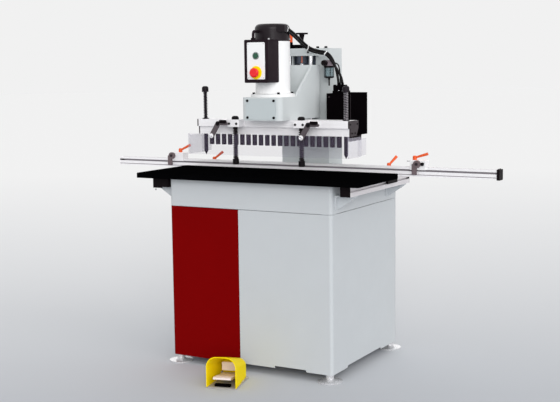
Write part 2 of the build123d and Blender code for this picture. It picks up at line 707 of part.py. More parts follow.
def guard_arm(side):
    """Arm from the beam to the guard, with its ear, its pivot shaft and its lower bolt."""
    y1 = GUARD_Y - 2
    x = ARM_SHIFT + side * ARM_X
    way = degrees(atan2(ARM_DZ, ARM_DX))
    length = hypot(ARM_DX, ARM_DZ)
    bar = SlotCenterToCenter(length, ARM_W)
    middle = Pos(x + ARM_DX / 2, ARM_Z + ARM_DZ / 2) * Rot(0, 0, way)
    ear = Pos(x + EAR_LEN / 2, ARM_Z) * SlotCenterToCenter(EAR_LEN, EAR_W)
    arm = extrude(Plane.XZ.offset(-y1) * (middle * bar + ear), ARM_T)
    arm += rod((x, y1 - 1, ARM_Z), (0, 1, 0), ARM_SHAFT_R, BEAM_FRONT - 2 - y1)
    low = (x + ARM_DX, y1 - 1, ARM_Z + ARM_DZ)
    return arm + rod(low, (0, 1, 0), 4, GUARD_T + 8)


def fence_rail():
    """Fence bar behind the table, with stop slots in its front and its top and a line along its foot."""
    y0, y1, z0, z1 = FENCE_FRONT, FENCE_REAR, FENCE_Z, FENCE_TOP
    mid = z1 - SLOT_DROP
    bar = [(y0, z0), (y1, z0), (y1, z1), (y0 + 28, z1), (y0 + 28, z1 - 3), (y0 + 32, z1 - 3)]
    bar += [(y0 + 32, z1 - 10), (y0 + 16, z1 - 10), (y0 + 16, z1 - 3), (y0 + 20, z1 - 3)]
    bar += [(y0 + 20, z1), (y0, z1), (y0, mid + 4), (y0 + 3, mid + 4), (y0 + 3, mid + 8)]
    bar += [(y0 + 10, mid + 8), (y0 + 10, mid - 8)]
    bar += [(y0 + 3, mid - 8), (y0 + 3, mid - 4), (y0, mid - 4)]
    bar += [(y0, z0 + 8), (y0 + 2, z0 + 8), (y0 + 2, z0 + 5), (y0, z0 + 5)]
    half = FENCE_LEN / 2
    return plate_yz(bar, -half, half - CAP_T)


def fence_carriers():
    """Carriers that slide on the side rails, and the end cap of the fence."""
    outer = RAIL_X + RAIL + CLEAR
    y0 = FENCE_REAR
    y1 = y0 + 36
    seat = FENCE_Z + 2
    pieces = []
    for side in SIDES:
        x0 = CARRIER_X - CARRIER_W / 2
        x1 = outer + 10
        block = span(side * x0, side * x1, y0, y1, seat, FENCE_TOP - CARRIER_DROP)
        block += span(side * (RAIL_X + 1), side * (outer - CLEAR), y0 + 10, y1, TABLE_BOTTOM + CLEAR, seat)
        block += span(side * outer, side * x1, y0 + 7, y0 + 19, TABLE_BOTTOM - 26, seat)
        block += span(side * outer, side * x1, y0 - 84, y0 + 19, TABLE_BOTTOM - 26, TABLE_BOTTOM - 9)
        pieces.append(block)
    half = FENCE_LEN / 2
    cap = span(half - CAP_T, half, FENCE_FRONT - 3, FENCE_REAR + 3, FENCE_Z - 4, FENCE_TOP + 3)
    pieces.append(fillet(cap.edges().filter_by(Axis.X), 4))
    return pieces


def stop_block(name):
    """Sliding stop on the fence with the apron that carries its finger."""
    x0 = STOP_X[name] - STOP_W / 2
    x1 = STOP_X[name] + STOP_W / 2
    front = FENCE_FRONT - APRON_T
    top = FENCE_TOP + STOP_H
    block = span(x0, x1, front, FENCE_REAR - 4, FENCE_TOP + CLEAR, top)
    block += span(x0, x1, front, FENCE_FRONT - CLEAR, FENCE_TOP - 10, top)
    block = chamfer(block.edges().group_by(Axis.Z)[-1], 3)
    return block - rod((HUB_X[name], front - 1, HUB_Z), (0, 1, 0), FINGER_PIN_R + FIT, APRON_T + 1)


def stop_finger(name):
    """Stop finger: a round hub with a tongue that hangs in front of the fence and swings up."""
    x = HUB_X[name]
    y1 = FENCE_FRONT - APRON_T - CLEAR
    y0 = y1 - FINGER_T
    finger = rod((x, y0, HUB_Z), (0, 1, 0), HUB_R, FINGER_T)
    finger += span(x - TONGUE_W, x - 2, y0 + 2, y1, FENCE_Z + 9, HUB_Z)
    return finger + rod((x, y1 - 1, HUB_Z), (0, 1, 0), FINGER_PIN_R, APRON_T - 1)


def depth_knob():
    """Star knob on top of the feed rod: a thin notched disc on a flared neck."""
    z0 = COLUMN_TOP + CLEAR
    stem = [(0, z0), (14, z0), (14, z0 + 9), (8, z0 + 13), (8, z0 + 40), (13, z0 + 64), (0, z0 + 64)]
    knob = lathe(stem, 0, ROD_Y) + rod((0, ROD_Y, z0 + 63), (0, 0, 1), 28, 7)
    for k in range(8):
        knob -= Pos(0, ROD_Y, 0) * Rot(0, 0, 45 * k) * rod((32, 0, z0 + 60), (0, 0, 1), 7, 20)
    return knob


def electrical_box():
    """Switch box on two bars at the column side, with its lid seam, glands and plugs."""
    x0, y0, z0 = E_BOX_X, E_BOX_Y, E_BOX_Z
    x1, y1, z1 = x0 + E_BOX_W, y0 + E_BOX_D, z0 + E_BOX_H
    box = span(x0, x1, y0, y1, z0, z1)
    box = fillet(box.edges().filter_by(Axis.Z), E_BOX_R)
    lid = y0 + LID_D
    groove = span(x0 - 1, x1 + 1, lid, lid + 2, z0 - 1, z1 + 1)
    box -= groove - span(x0 + 1.5, x1 - 1.5, lid - 1, lid + 3, z0 + 1.5, z1 - 1.5)
    for k in range(3):
        box += rod((x1 - 30, lid + 24 + 44 * k, z0 - 26), (0, 0, 1), 12, 27)
    box += span(x0 + 30, x0 + 102, y0 + 10, y0 + 42, z1 - 1, z1 + 12)
    for x in PLUG_X:
        box += rod((x0 + x, y0 + PLUG_Y, z1 - 1), (0, 0, 1), PLUG_R, PLUG_H + 1)
    for z in (z0 + 30, z1 - 50):
        box += span(COLUMN_W / 2, x0 + 1, COLUMN_FRONT + 14, COLUMN_FRONT + COLUMN_D - 14, z, z + 20)
    return box


def air_regulator():
    """Regulator head on its bracket, with the filter bowl below."""
    top = AIR_TOP
    body = span(AIR_X - 21, AIR_X + 21, AIR_Y - 17, AIR_Y + 17, top - 26, top)
    body = chamfer(body.edges().filter_by(Axis.Z), 4)
    body += span(COLUMN_W / 2 - 10, AIR_X + 5, AIR_Y + 17, COLUMN_FRONT, top - 22, top - 4)
    low = top - 26
    profile = [(0, low - 47), (8, low - 47), (15, low - 42), (18, low - 34), (18, low), (0, low)]
    bowl = lathe(profile, AIR_X, AIR_Y)
    return [body, bowl]


def regulator_knob():
    """Round setting knob on the regulator front."""
    y1 = AIR_Y - 17 - CLEAR
    knob = rod((AIR_X - 9, y1 - 24, AIR_TOP - 13), (0, 1, 0), 11.5, 24)
    return chamfer(knob.edges().group_by(Axis.Y)[0], 2)


def tube(points, radius):
    """Cable through points, with an arc at every inner point that is as large as its runs allow."""
    corners = [Vector(*p) for p in points]
    radii = []
    for before, here, after in zip(corners, corners[1:], corners[2:]):
        turn = radians((here - before).get_angle(after - here))
        radii.append(0.45 * min((here - before).length, (after - here).length) / tan(turn / 2))
    print("cable bend radii:", [round(r) for r in radii])
    path = FilletPolyline(*points, radius=radii)
    section = Plane(origin=path @ 0, z_dir=path % 0) * RegularPolygon(radius, 8)
    return sweep(section, path=path)


def head_cables():
    """Motor cable and control cable from the cowl to the switch box, and the air tube."""
    plug_y = E_BOX_Y + PLUG_Y
    plug_z = E_BOX_Z + E_BOX_H + PLUG_H
    gland = DRILL_Y - 32 + CLEAR
    route = [(83, 236, 1472), (77, 300, 1454), (70, 366, 1427), (66, 428, 1398)]
    route += [(82, 456, 1381), (114, 467, 1371), (143, 471, 1368), (168, 473, 1342)]
    last = route[-1][0]
    cables = []
    for k, x in enumerate(PLUG_X):
        d = CABLE_STEP * k
        end = E_BOX_X + x
        points = [(82, gland, 1474 - 11 * k)] + [(px, py - d, pz - d) for px, py, pz in route]
        points.append((last + 0.5 * (end - last), 473 - d, 1302 - d))
        points.append((last + 0.82 * (end - last), 470 - d / 4, 1264))
        points += [(end, plug_y, 1234), (end, plug_y, plug_z)]
        cables.append(tube(points, CABLE_R))
    top = AIR_TOP - 13
    x = AIR_X + 49
    points = [(AIR_X + 21, AIR_Y, top), (AIR_X + 45, AIR_Y, top), (x, AIR_Y + 10, top - 37)]
    points += [(x, AIR_Y + 15, top - 75), (x, AIR_Y + 15, E_BOX_Z + E_BOX_H)]
    cables.append(tube(points, TUBE_R))
    return cables


def place_pedal(piece):
    """Turn a piece of the pedal into its place on the floor."""
    return Pos(0, PEDAL_Y, 0) * Rot(0, 0, PEDAL_TURN) * piece


def arch(width, height, radius, y):
    """Arched section across the pedal, standing on the base."""
    half = width / 2
    side = [Line((-half, 5), (half, 5)), Line((half, 5), (half, 5 + height - radius))]
    side.append(TangentArc((half, 5 + height - radius), (half - radius, 5 + height), tangent=(0, 1)))
    side.append(Line((half - radius, 5 + height), (radius - half, 5 + height)))
    side.append(TangentArc((radius - half, 5 + height), (-half, 5 + height - radius), tangent=(-1, 0)))
    side.append(Line((-half, 5 + height - radius), (-half, 5)))
    return Plane.XZ.offset(-y) * make_face(side)


def pedal_hood():
    """Arched hood, open in front."""
    half = PEDAL_L / 2
    rear_w = PEDAL_W - 24
    rear_h = 0.62 * PEDAL_H
    outer = loft([arch(PEDAL_W, PEDAL_H, 45, -half), arch(rear_w, rear_h, 30, half)])
    mouth = arch(PEDAL_W - 7, PEDAL_H - 3.5, 42, -half - 1)
    inner = loft([mouth, arch(rear_w - 7, rear_h - 3.5, 27, half - 4)])
    return place_pedal(outer - inner)


def pedal_base():
    """Base plate with the two ears of the tread hinge."""
    base = span(-PEDAL_W / 2, PEDAL_W / 2, -PEDAL_L / 2, PEDAL_L / 2, 0, 5)
    base = fillet(base.edges().filter_by(Axis.Z), 6)
    for side in SIDES:
        ear = span(side * 40, side * 44, 44, 66, 4, 34)
        base += ear - rod((side * 39, 55, 24), (side, 0, 0), 3 + FIT, 6)
    return place_pedal(base)


def pedal_tread():
    """Ribbed tread on a cross pin."""
    outline = [(62, 20), (62, 28), (-80, 44), (-82, 36), (-60, 32)]
    plate = plate_yz(outline, -38, 38)
    for y in (-72, -60, -48, -36):
        rise = 45 - 0.112 * (y + 75)
        plate += plate_yz([(y, 35), (y + 5, 35), (y + 5, rise - 0.5), (y, rise)], -38, 38)
    return place_pedal(plate + rod((-44, 55, 24), (1, 0, 0), 3, 88))


def build():
    """All nodes by name, each a list of its pieces."""
    nodes = {}
    red, grey, back = cabinet_panels()
    nodes["cabinet_frame"] = [cabinet_frame()]
    nodes["red_panel"] = [red]
    nodes["grey_panel"] = [grey]
    nodes["back_panel"] = [back]
    nodes["levelling_feet"] = levelling_feet()
    nodes["table_top"] = [table_top()]
    nodes["side_rails"] = side_rails()
    nodes["rail_brackets"] = rail_brackets()
    nodes["column"] = [column()]
    nodes["guide_rails"] = guide_rails()
    nodes["piston_rod"] = [piston_rod()]
    nodes["electrical_box"] = [electrical_box()]
    nodes["air_regulator"] = air_regulator()
    nodes["head_cables"] = head_cables()
    nodes["pedal_base"] = [pedal_base()]
    nodes["pedal_hood"] = [pedal_hood()]
    nodes["pedal_tread"] = [pedal_tread()]
    nodes["depth_knob"] = [depth_knob()]
    nodes["regulator_knob"] = [regulator_knob()]
    nodes["fence_rail"] = [fence_rail()]
    nodes["fence_carriers"] = fence_carriers()
    nodes["head_casting"] = [head_casting()]
    nodes["gearbox_cover"] = [gearbox_cover()]
    nodes["head_beam"] = [head_beam()]
    nodes["spindle_housing"] = [spindle_housing()]
    nodes["end_plates"] = end_plates()
    nodes["feed_cylinder"] = [feed_cylinder()]
    nodes["motor_body"] = [motor_body()]
    nodes["fan_cowl"] = [fan_cowl()]
    nodes["motor_rotor"] = [motor_rotor()]
    nodes["control_box"] = [control_box()]
    nodes["start_button"] = [start_button()]
    nodes["emergency_button"] = [emergency_button()]
    nodes["presser_blocks"] = presser_blocks()
    nodes["guard_shield"] = guard_shield()
    xs = spindle_x()
    first = (SPINDLES - LIVE) // 2
    nodes["spindles_left"] = [spindle(x) for x in xs[:first]]
    nodes["spindles_right"] = [spindle(x) for x in xs[first + LIVE:]]
    for k, name in enumerate(LIVE_NAMES):
        x = xs[first + k]
        phase = (k % 2) * pi / GEAR_TEETH
        top = DRIVE_Z + 14 if x == 0 else GEAR_Z + GEAR_W + 2
        nodes[name] = [spindle(x, True, phase, top)]
    seat = FENCE_REAR + 18
    lock_z = FENCE_TOP - CARRIER_DROP + CLEAR
    stop_z = FENCE_TOP + STOP_H + CLEAR
    for side, name, lock_turn, stop_rise in ((-1, "left", 0, 25), (1, "right", 70, 17)):
        nodes[f"index_pin_{name}"] = [index_pin(side)]
        place = (BEAM_TOP, KNOB_Z, side * PIN_X, DRILL_Y)
        nodes[f"index_spring_{name}"] = [coil(PIN_COIL_R, PIN_WIRE_R, *place)]
        nodes[f"presser_{name}"] = [presser(side)]
        place = (PRESSER_SEAT, BLOCK_Z, side * PRESSER_X, PRESSER_Y)
        nodes[f"presser_spring_{name}"] = [coil(PRESSER_COIL_R, PRESSER_WIRE_R, *place)]
        nodes[f"guard_arm_{name}"] = [guard_arm(side)]
        lock_x = side * (CARRIER_X - 9)
        nodes[f"fence_lever_{name}"] = [lever(lock_x, seat, lock_z, lock_turn, 35, 58)]
        nodes[f"stop_block_{name}"] = [stop_block(name)]
        nodes[f"stop_finger_{name}"] = [stop_finger(name)]
        place = (STOP_LEVER_X[name], FENCE_FRONT + 14, stop_z)
        nodes[f"stop_lever_{name}"] = [lever(*place, 0, stop_rise, 62)]
    return nodes


def main():
    os.makedirs("parts", exist_ok=True)
    nodes = build()
    boxes = [piece.bounding_box() for pieces in nodes.values() for piece in pieces]
    mid_x = (min(b.min.X for b in boxes) + max(b.max.X for b in boxes)) / 2
    mid_y = (min(b.min.Y for b in boxes) + max(b.max.Y for b in boxes)) / 2
    print("centre of the plan:", round(mid_x, 3), round(mid_y, 3))
    for name, pieces in nodes.items():
        moved = [Pos(-mid_x, -mid_y, 0) * piece for piece in pieces]
        export_step(moved[0] if len(moved) == 1 else Compound(moved), f"parts/{name}.step")


main()
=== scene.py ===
import json
from math import cos, pi, radians, sin

import bmesh
import bpy
from mathutils import Matrix, Vector


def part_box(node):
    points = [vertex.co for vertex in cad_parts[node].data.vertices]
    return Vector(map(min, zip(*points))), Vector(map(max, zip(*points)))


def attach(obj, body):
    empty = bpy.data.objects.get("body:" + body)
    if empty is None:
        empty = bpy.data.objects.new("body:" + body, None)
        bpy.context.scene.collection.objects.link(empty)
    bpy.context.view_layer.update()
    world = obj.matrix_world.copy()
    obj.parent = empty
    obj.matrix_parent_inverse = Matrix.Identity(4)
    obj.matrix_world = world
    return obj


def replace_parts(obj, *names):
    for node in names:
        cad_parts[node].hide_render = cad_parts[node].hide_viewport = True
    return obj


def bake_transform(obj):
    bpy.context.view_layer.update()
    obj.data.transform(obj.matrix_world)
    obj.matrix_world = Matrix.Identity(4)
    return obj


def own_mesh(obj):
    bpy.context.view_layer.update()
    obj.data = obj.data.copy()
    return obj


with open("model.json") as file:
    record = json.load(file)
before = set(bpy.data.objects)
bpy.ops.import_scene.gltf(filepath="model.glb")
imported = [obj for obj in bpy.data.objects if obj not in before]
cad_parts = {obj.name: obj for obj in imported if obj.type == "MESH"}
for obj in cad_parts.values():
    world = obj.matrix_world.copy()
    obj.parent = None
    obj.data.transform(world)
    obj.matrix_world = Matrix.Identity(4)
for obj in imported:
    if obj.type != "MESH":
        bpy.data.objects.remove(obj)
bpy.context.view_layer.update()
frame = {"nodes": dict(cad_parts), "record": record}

NODES = frame["nodes"]

# Machine zero is on the cabinet front, the frame's zero is in the middle of the plan
FRONT_Y = 0.205144

# Camera of the photograph, in metres and degrees
EYE = (2.36575, -4.145604, 1.30966)
YAW = 29.26
TILT = 7.05
ROLL = -0.70
LENS = 70.38

# Sides of the machine, and directions
SIDES = {"left": -1, "right": 1}
FRONT = (0, -1, 0)
BACK = (0, 1, 0)
UP = (0, 0, 1)
DOWN = (0, 0, -1)


def srgb(r, g, b):
    """Linear colour from 8-bit display values."""
    def lin(c):
        """Linear part of one display value."""
        c /= 255.0
        return c / 12.92 if c <= 0.04045 else ((c + 0.055) / 1.055) ** 2.4
    return (lin(r), lin(g), lin(b), 1.0)


def at(x, y, z):
    """Point in the frame from machine millimetres."""
    return Vector((x / 1000, y / 1000 - FRONT_Y, z / 1000))


def limits(node):
    """Lowest and highest corner of a node in machine millimetres."""
    low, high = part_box(node)
    shift = Vector((0, FRONT_Y, 0))
    return (low + shift) * 1000, (high + shift) * 1000


# Materials: scales of the patterns, and depths of the skin and the grain in metres
MOTTLE_SCALE = 7.0
SHEEN_SCALE = 23.0
SKIN_DEPTH = 0.0004
GRAIN_SCALE = 210.0
GRAIN_SHEEN = 420.0
GRAIN_FINE = 700.0
GRAIN_DEPTH = 0.0003
HAZE_SCALE = 5.0
SCRATCH_SCALE = 60.0
WAVE_SCALE = 25.0

# Part of the noise over which a pattern goes from its low to its high value
NOISE_LOW = 0.3
NOISE_HIGH = 0.7
NOISE_ROUGHNESS = 0.55

# Ranges of surface roughness
GLOSS = (0.2, 0.3)
HALF_GLOSS = (0.3, 0.45)
SATIN = (0.4, 0.55)
PAINTED = (0.45, 0.58)
MATT = (0.5, 0.65)


class MaterialNodes:
    """Small helper that adds and links the nodes of one material."""

    def __init__(self, name):
        """Start a material with its shader and its coordinates."""
        self.material = bpy.data.materials.new(name)
        self.material.use_nodes = True
        self.tree = self.material.node_tree
        self.shader = self.tree.nodes["Principled BSDF"]
        self.where = self.add("ShaderNodeTexCoord")

    def add(self, kind):
        """New node of a kind."""
        return self.tree.nodes.new(kind)

    def link(self, a, b):
        """Lead an output to an input."""
        self.tree.links.new(a, b)

    def noise(self, scale, detail=3.0, stretch=(1, 1, 1)):
        """Noise over the object, which can be stretched along an axis."""
        place = self.add("ShaderNodeMapping")
        place.inputs["Scale"].default_value = stretch
        self.link(self.where.outputs["Object"], place.inputs["Vector"])
        noise = self.add("ShaderNodeTexNoise")
        noise.inputs["Scale"].default_value = scale
        noise.inputs["Detail"].default_value = detail
        noise.inputs["Roughness"].default_value = NOISE_ROUGHNESS
        self.link(place.outputs["Vector"], noise.inputs["Vector"])
        return noise.outputs["Fac"]

    def ramp(self, fac, low, high):
        """Colour between two tones that goes with the noise."""
        ramp = self.add("ShaderNodeValToRGB")
        ramp.color_ramp.elements[0].position = NOISE_LOW
        ramp.color_ramp.elements[0].color = low
        ramp.color_ramp.elements[1].position = NOISE_HIGH
        ramp.color_ramp.elements[1].color = high
        self.link(fac, ramp.inputs["Fac"])
        return ramp.outputs["Color"]

    def spread(self, fac, low, high):
        """Value between two limits that goes with the noise."""
        spread = self.add("ShaderNodeMapRange")
        spread.inputs["From Min"].default_value = NOISE_LOW
        spread.inputs["From Max"].default_value = NOISE_HIGH
        spread.inputs["To Min"].default_value = low
        spread.inputs["To Max"].default_value = high
        self.link(fac, spread.inputs["Value"])
        return spread.outputs["Result"]

    def bump(self, height, strength, distance):
        """Fine relief on the shader's normal."""
        bump = self.add("ShaderNodeBump")
        bump.inputs["Strength"].default_value = strength
        bump.inputs["Distance"].default_value = distance
        self.link(height, bump.inputs["Height"])
        self.link(bump.outputs["Normal"], self.shader.inputs["Normal"])


def shade(colour, factor):
    """Colour made darker or lighter by a factor."""
    return tuple(c * factor for c in colour[:3]) + (1.0,)


def coated(name, colour, rough=(0.38, 0.5), vary=0.06, peel=900.0, relief=0.12, specular=0.3):
    """Paint or plastic: slight mottling, uneven gloss and a fine skin texture."""
    m = MaterialNodes(name)
    tone = m.ramp(m.noise(MOTTLE_SCALE), shade(colour, 1 - vary), shade(colour, 1 + vary))
    m.link(tone, m.shader.inputs["Base Color"])
    m.link(m.spread(m.noise(SHEEN_SCALE), *rough), m.shader.inputs["Roughness"])
    m.bump(m.noise(peel, 2.0), relief, SKIN_DEPTH)
    m.shader.inputs["Specular IOR Level"].default_value = specular
    return m.material


def metal(name, colour, rough=(0.25, 0.4), vary=0.08, grain=(1, 1, 1), bare=1.0, specular=0.5):
    """Bare or anodised metal, with grain stretched along its working direction."""
    m = MaterialNodes(name)
    streaks = m.noise(GRAIN_SCALE, 4.0, grain)
    tone = m.ramp(streaks, shade(colour, 1 - vary), shade(colour, 1 + vary))
    m.link(tone, m.shader.inputs["Base Color"])
    m.link(m.spread(m.noise(GRAIN_SHEEN, 3.0, grain), *rough), m.shader.inputs["Roughness"])
    m.bump(m.noise(GRAIN_FINE, 2.0, grain), 0.08, GRAIN_DEPTH)
    m.shader.inputs["Metallic"].default_value = bare
    m.shader.inputs["Specular IOR Level"].default_value = specular
    return m.material


def clear(name, colour, dense, rough=(0.05, 0.14)):
    """Clear sheet: mostly see-through, with faint haze and fine scratches."""
    m = MaterialNodes(name)
    tone = m.ramp(m.noise(HAZE_SCALE), shade(colour, 0.96), colour)
    m.link(tone, m.shader.inputs["Base Color"])
    m.link(m.spread(m.noise(SCRATCH_SCALE, 4.0), *rough), m.shader.inputs["Roughness"])
    m.bump(m.noise(WAVE_SCALE, 2.0), 0.03, SKIN_DEPTH)
    m.shader.inputs["Alpha"].default_value = dense
    return m.material


def make_materials():
    """Materials of the record's slots, by name."""
    along_x = (0.02, 1, 1)
    along_y = (1, 0.02, 1)
    along_z = (1, 1, 0.02)
    return {
        "grey_paint": coated("grey_paint", srgb(199, 203, 206), PAINTED, 0.012, specular=0.2),
        "cover_grey": coated("cover_grey", srgb(196, 204, 206), PAINTED, 0.012, specular=0.2),
        "red_paint": coated("red_paint", srgb(122, 0, 1), (0.5, 0.62), 0.02, specular=0.03),
        "table_black": coated("table_black", srgb(5, 5, 6), (0.75, 0.9), 0.2, specular=0.0),
        "motor_white": coated("motor_white", srgb(247, 247, 247), (0.4, 0.52), 0.01, specular=0.15),
        "black_plastic": coated("black_plastic", srgb(20, 14, 17), SATIN, 0.15, 1500.0, 0.2, 0.06),
        "end_dark": coated("end_dark", srgb(58, 50, 54), vary=0.08, specular=0.2),
        "arm_grey": coated("arm_grey", srgb(92, 84, 88), vary=0.08, specular=0.2),
        "finger_dark": coated("finger_dark", srgb(112, 98, 101), vary=0.1, specular=0.25),
        "lever_orange": coated("lever_orange", srgb(240, 96, 40), (0.25, 0.4), 0.05, 600.0, 0.06, 0.4),
        "start_green": coated("start_green", srgb(40, 88, 66), GLOSS, 0.05, 600.0, 0.05, 0.4),
        "stop_red": coated("stop_red", srgb(240, 36, 42), (0.2, 0.32), 0.04, 600.0, 0.05, 0.4),
        "cable_black": coated("cable_black", srgb(14, 11, 13), (0.35, 0.5), 0.2, 1200.0, 0.15, 0.12),
        "regulator_grey": coated("regulator_grey", srgb(150, 136, 144), vary=0.08),
        "pedal_yellow": coated("pedal_yellow", srgb(255, 226, 8), PAINTED, 0.02, specular=0.06),
        "chrome": metal("chrome", srgb(222, 222, 224), (0.22, 0.34), 0.04, bare=0.6),
        "rail_aluminium": metal(
            "rail_aluminium", srgb(236, 232, 235), (0.35, 0.5), 0.04, along_y, bare=0.3),
        "fence_aluminium": metal(
            "fence_aluminium", srgb(249, 247, 249), SATIN, 0.02, along_x, bare=0.15),
        "beam_aluminium": metal(
            "beam_aluminium", srgb(252, 250, 252), SATIN, 0.02, along_x, bare=0.1),
        "block_white": metal("block_white", srgb(250, 248, 250), SATIN, 0.02, bare=0.12),
        "cylinder_aluminium": metal(
            "cylinder_aluminium", srgb(146, 152, 164), HALF_GLOSS, 0.06, along_z),
        "guide_steel": metal("guide_steel", srgb(226, 226, 228), GLOSS, 0.04, along_z),
        "pin_steel": metal("pin_steel", srgb(30, 24, 30), (0.35, 0.48), 0.1, along_z, 0.1, 0.12),
        "chuck_black": metal("chuck_black", srgb(34, 26, 32), HALF_GLOSS, 0.12, along_z, 0.1, 0.15),
        "presser_black": metal("presser_black", srgb(20, 16, 19), (0.35, 0.48), 0.12, along_z, 0.1, 0.1),
        "pedal_metal": metal("pedal_metal", srgb(238, 224, 220), SATIN, 0.05, bare=0.2),
        "clear_guard": clear("clear_guard", srgb(140, 128, 160), 0.075),
    }


MATERIALS = make_materials()
CLEAR_EDGE = clear("clear_edge", srgb(206, 200, 218), 0.5)
# Denser, paler copy of the clear guard for its bent ends: painted reflection
CLEAR_WING_PAINTED_REFLECTION = clear("clear_wing_painted_reflection", srgb(208, 204, 220), 0.22)
CLEAR_BOWL = clear("clear_bowl", srgb(138, 160, 166), 0.5, (0.04, 0.1))

# Finishes of single nodes and faces, where the slot's own isn't close enough; several of them paint light
# or shade, as marked
# Lighter copy of the grey paint: painted light on the head casting and the column, which lie shaded among
# their neighbours
CASTING_GREY_PAINTED_LIGHT = coated("casting_grey_painted_light", srgb(210, 215, 216), PAINTED, 0.015, specular=0.2)
COWL_BLACK = coated("cowl_black", srgb(30, 22, 27), (0.3, 0.42), 0.12, 700.0, 0.12, 0.22)
CONTROL_DARK = coated("control_dark", srgb(36, 26, 32), SATIN, 0.12, 1500.0, 0.2, 0.06)
BOX_BLACK = coated("box_black", srgb(9, 6, 8), MATT, 0.2, 1500.0, 0.1, 0.0)
# Darker grey for the walls of the fence slot: painted shade in the slot
SLOT_PAINTED_SHADE = coated("slot_painted_shade", srgb(158, 152, 158), MATT, 0.1, specular=0.1)
# Dark blue-grey: painted shade, on a sheet inside the column and on the feed rod's collar under the
# crosshead
PAINTED_SHADE_BLUE = coated("painted_shade_blue", srgb(74, 80, 92), MATT, 0.1, specular=0.2)
# Grey darker than the pedal's metal: painted shade on the pedal base under its hood
BASE_PAINTED_SHADE = coated("base_painted_shade", srgb(170, 166, 162), MATT, 0.05, specular=0.2)
BEZEL_GREY = metal("bezel_grey", srgb(146, 156, 154), (0.25, 0.4), 0.06, bare=0.5)
COPPER = metal("copper", srgb(196, 120, 100), HALF_GLOSS, 0.1, bare=0.6)
SPRING_BLACK = metal("spring_black", srgb(62, 54, 58), (0.15, 0.25), 0.06, bare=0.8)
# Pale steel for the right index spring only: painted reflection of the bright surround on its turns
SPRING_PAINTED_REFLECTION = metal("spring_steel_painted_reflection", srgb(176, 170, 176), GLOSS, 0.06)
NODE_FINISH_OR_PAINTED_LIGHT = {"head_casting": CASTING_GREY_PAINTED_LIGHT, "column": CASTING_GREY_PAINTED_LIGHT, "fan_cowl": COWL_BLACK,
               "electrical_box": BOX_BLACK, "control_box": CONTROL_DARK, "pedal_base": BASE_PAINTED_SHADE}


def dress_nodes():
    """Give every CAD node the material of its slot, or a finish of its own; the head casting and the
    column take a grey lightened as painted light, the pedal base a grey darkened as painted shade.
    """
    for part in frame["record"]["subparts"]:
        node = NODES[part["node"]]
        node.data.materials.clear()
        node.data.materials.append(NODE_FINISH_OR_PAINTED_LIGHT.get(part["node"], MATERIALS[part["material_slot"]]))


# Sizes that the tests of faces use: machine millimetres for places, metres for the rest
ROD_Y = 504
COLLAR_Z = 1317.5
COLLAR_REACH = 0.024
COLLAR_HEIGHT = 0.0345
EDGE_WIDTH = 0.0045
OUTER_SKIN = 0.0004
BOWL_DROP = 0.0262

# Share of a normal along an axis at which a face counts as turned that way
MOSTLY = 0.7
SQUARELY = 0.9


def dress_faces(node, material, chosen):
    """Give one more material to the faces of a node that a test picks."""
    mesh = NODES[node].data
    mesh.materials.append(material)
    for face in mesh.polygons:
        if chosen(mesh, face):
            face.material_index = len(mesh.materials) - 1


def is_wing(mesh, face):
    """True on the ends of the guard that are bent back."""
    return abs(face.normal.x) > MOSTLY


def is_cut_edge(mesh, face):
    """True on the narrow faces at the ends and along the foot of the guard."""
    corners = [mesh.vertices[k].co for k in face.vertices]
    longest = max((a - b).length for a, b in zip(corners, corners[1:] + corners[:1]))
    narrow = 2 * face.area / longest < EDGE_WIDTH
    return narrow and (abs(face.normal.x) > SQUARELY or face.normal.z < -SQUARELY)


def is_collar(mesh, face):
    """True on the collar of the feed rod under the crosshead."""
    place = face.center - at(0, ROD_Y, COLLAR_Z)
    return place.xy.length < COLLAR_REACH and 0 < place.z < COLLAR_HEIGHT


def inside_of(node):
    """Test for the walls of a node's slots, which lie away from its outer faces."""
    low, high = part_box(node)

    def chosen(mesh, face):
        """True on a face that is away from every outer face."""
        middle = face.center
        return all(low[i] + OUTER_SKIN < middle[i] < high[i] - OUTER_SKIN for i in range(3))
    return chosen


def is_bowl(mesh, face):
    """True below the head of the regulator."""
    return face.center.z < limits("air_regulator")[1].z / 1000 - BOWL_DROP


# Shapes, in machine millimetres

# Angle in degrees from which an edge stays sharp, and the width that joins two points in metres
SHARP_ANGLE = 38
JOIN_WIDTH = 1e-6


def ring(radius, height, steps, sides=0):
    """Points of a round or many-sided ring at a height."""
    points = []
    for k in range(steps):
        a = 2 * pi * k / steps
        r = radius
        if sides:
            part = 2 * pi / sides
            r = radius * cos(part / 2) / cos(a % part - part / 2)
        points.append(Vector((r * cos(a), r * sin(a), height)) / 1000)
    return points


def lathed(bm, profile, place, way, steps=24):
    """Add a turned form: (radius, height) or (radius, height, sides) along an axis from a place."""
    turn = Vector(way).to_track_quat("Z", "Y").to_matrix().to_4x4()
    move = Matrix.Translation(at(*place)) @ turn
    rows = []
    for radius, height, *sides in profile:
        if radius == 0:
            rows.append([bm.verts.new(move @ Vector((0, 0, height / 1000)))])
        else:
            rows.append([bm.verts.new(move @ p) for p in ring(radius, height, steps, *sides)])
    for low, high in zip(rows, rows[1:]):
        for k in range(steps):
            corners = [low[k % len(low)], low[(k + 1) % len(low)]]
            corners += [high[(k + 1) % len(high)], high[k % len(high)]]
            bm.faces.new(list(dict.fromkeys(corners)))


def block(bm, low, high, bevel, segments=2):
    """Add a box between two corners with rounded edges."""
    corners = bmesh.ops.create_cube(bm, size=1.0)["verts"]
    a, b = at(*low), at(*high)
    for v in corners:
        v.co = Vector([(a[i] + b[i]) / 2 + v.co[i] * (b[i] - a[i]) for i in range(3)])
    edges = list({e for v in corners for e in v.link_edges})
    bmesh.ops.bevel(bm, geom=edges, offset=bevel / 1000, segments=segments, affect="EDGES")


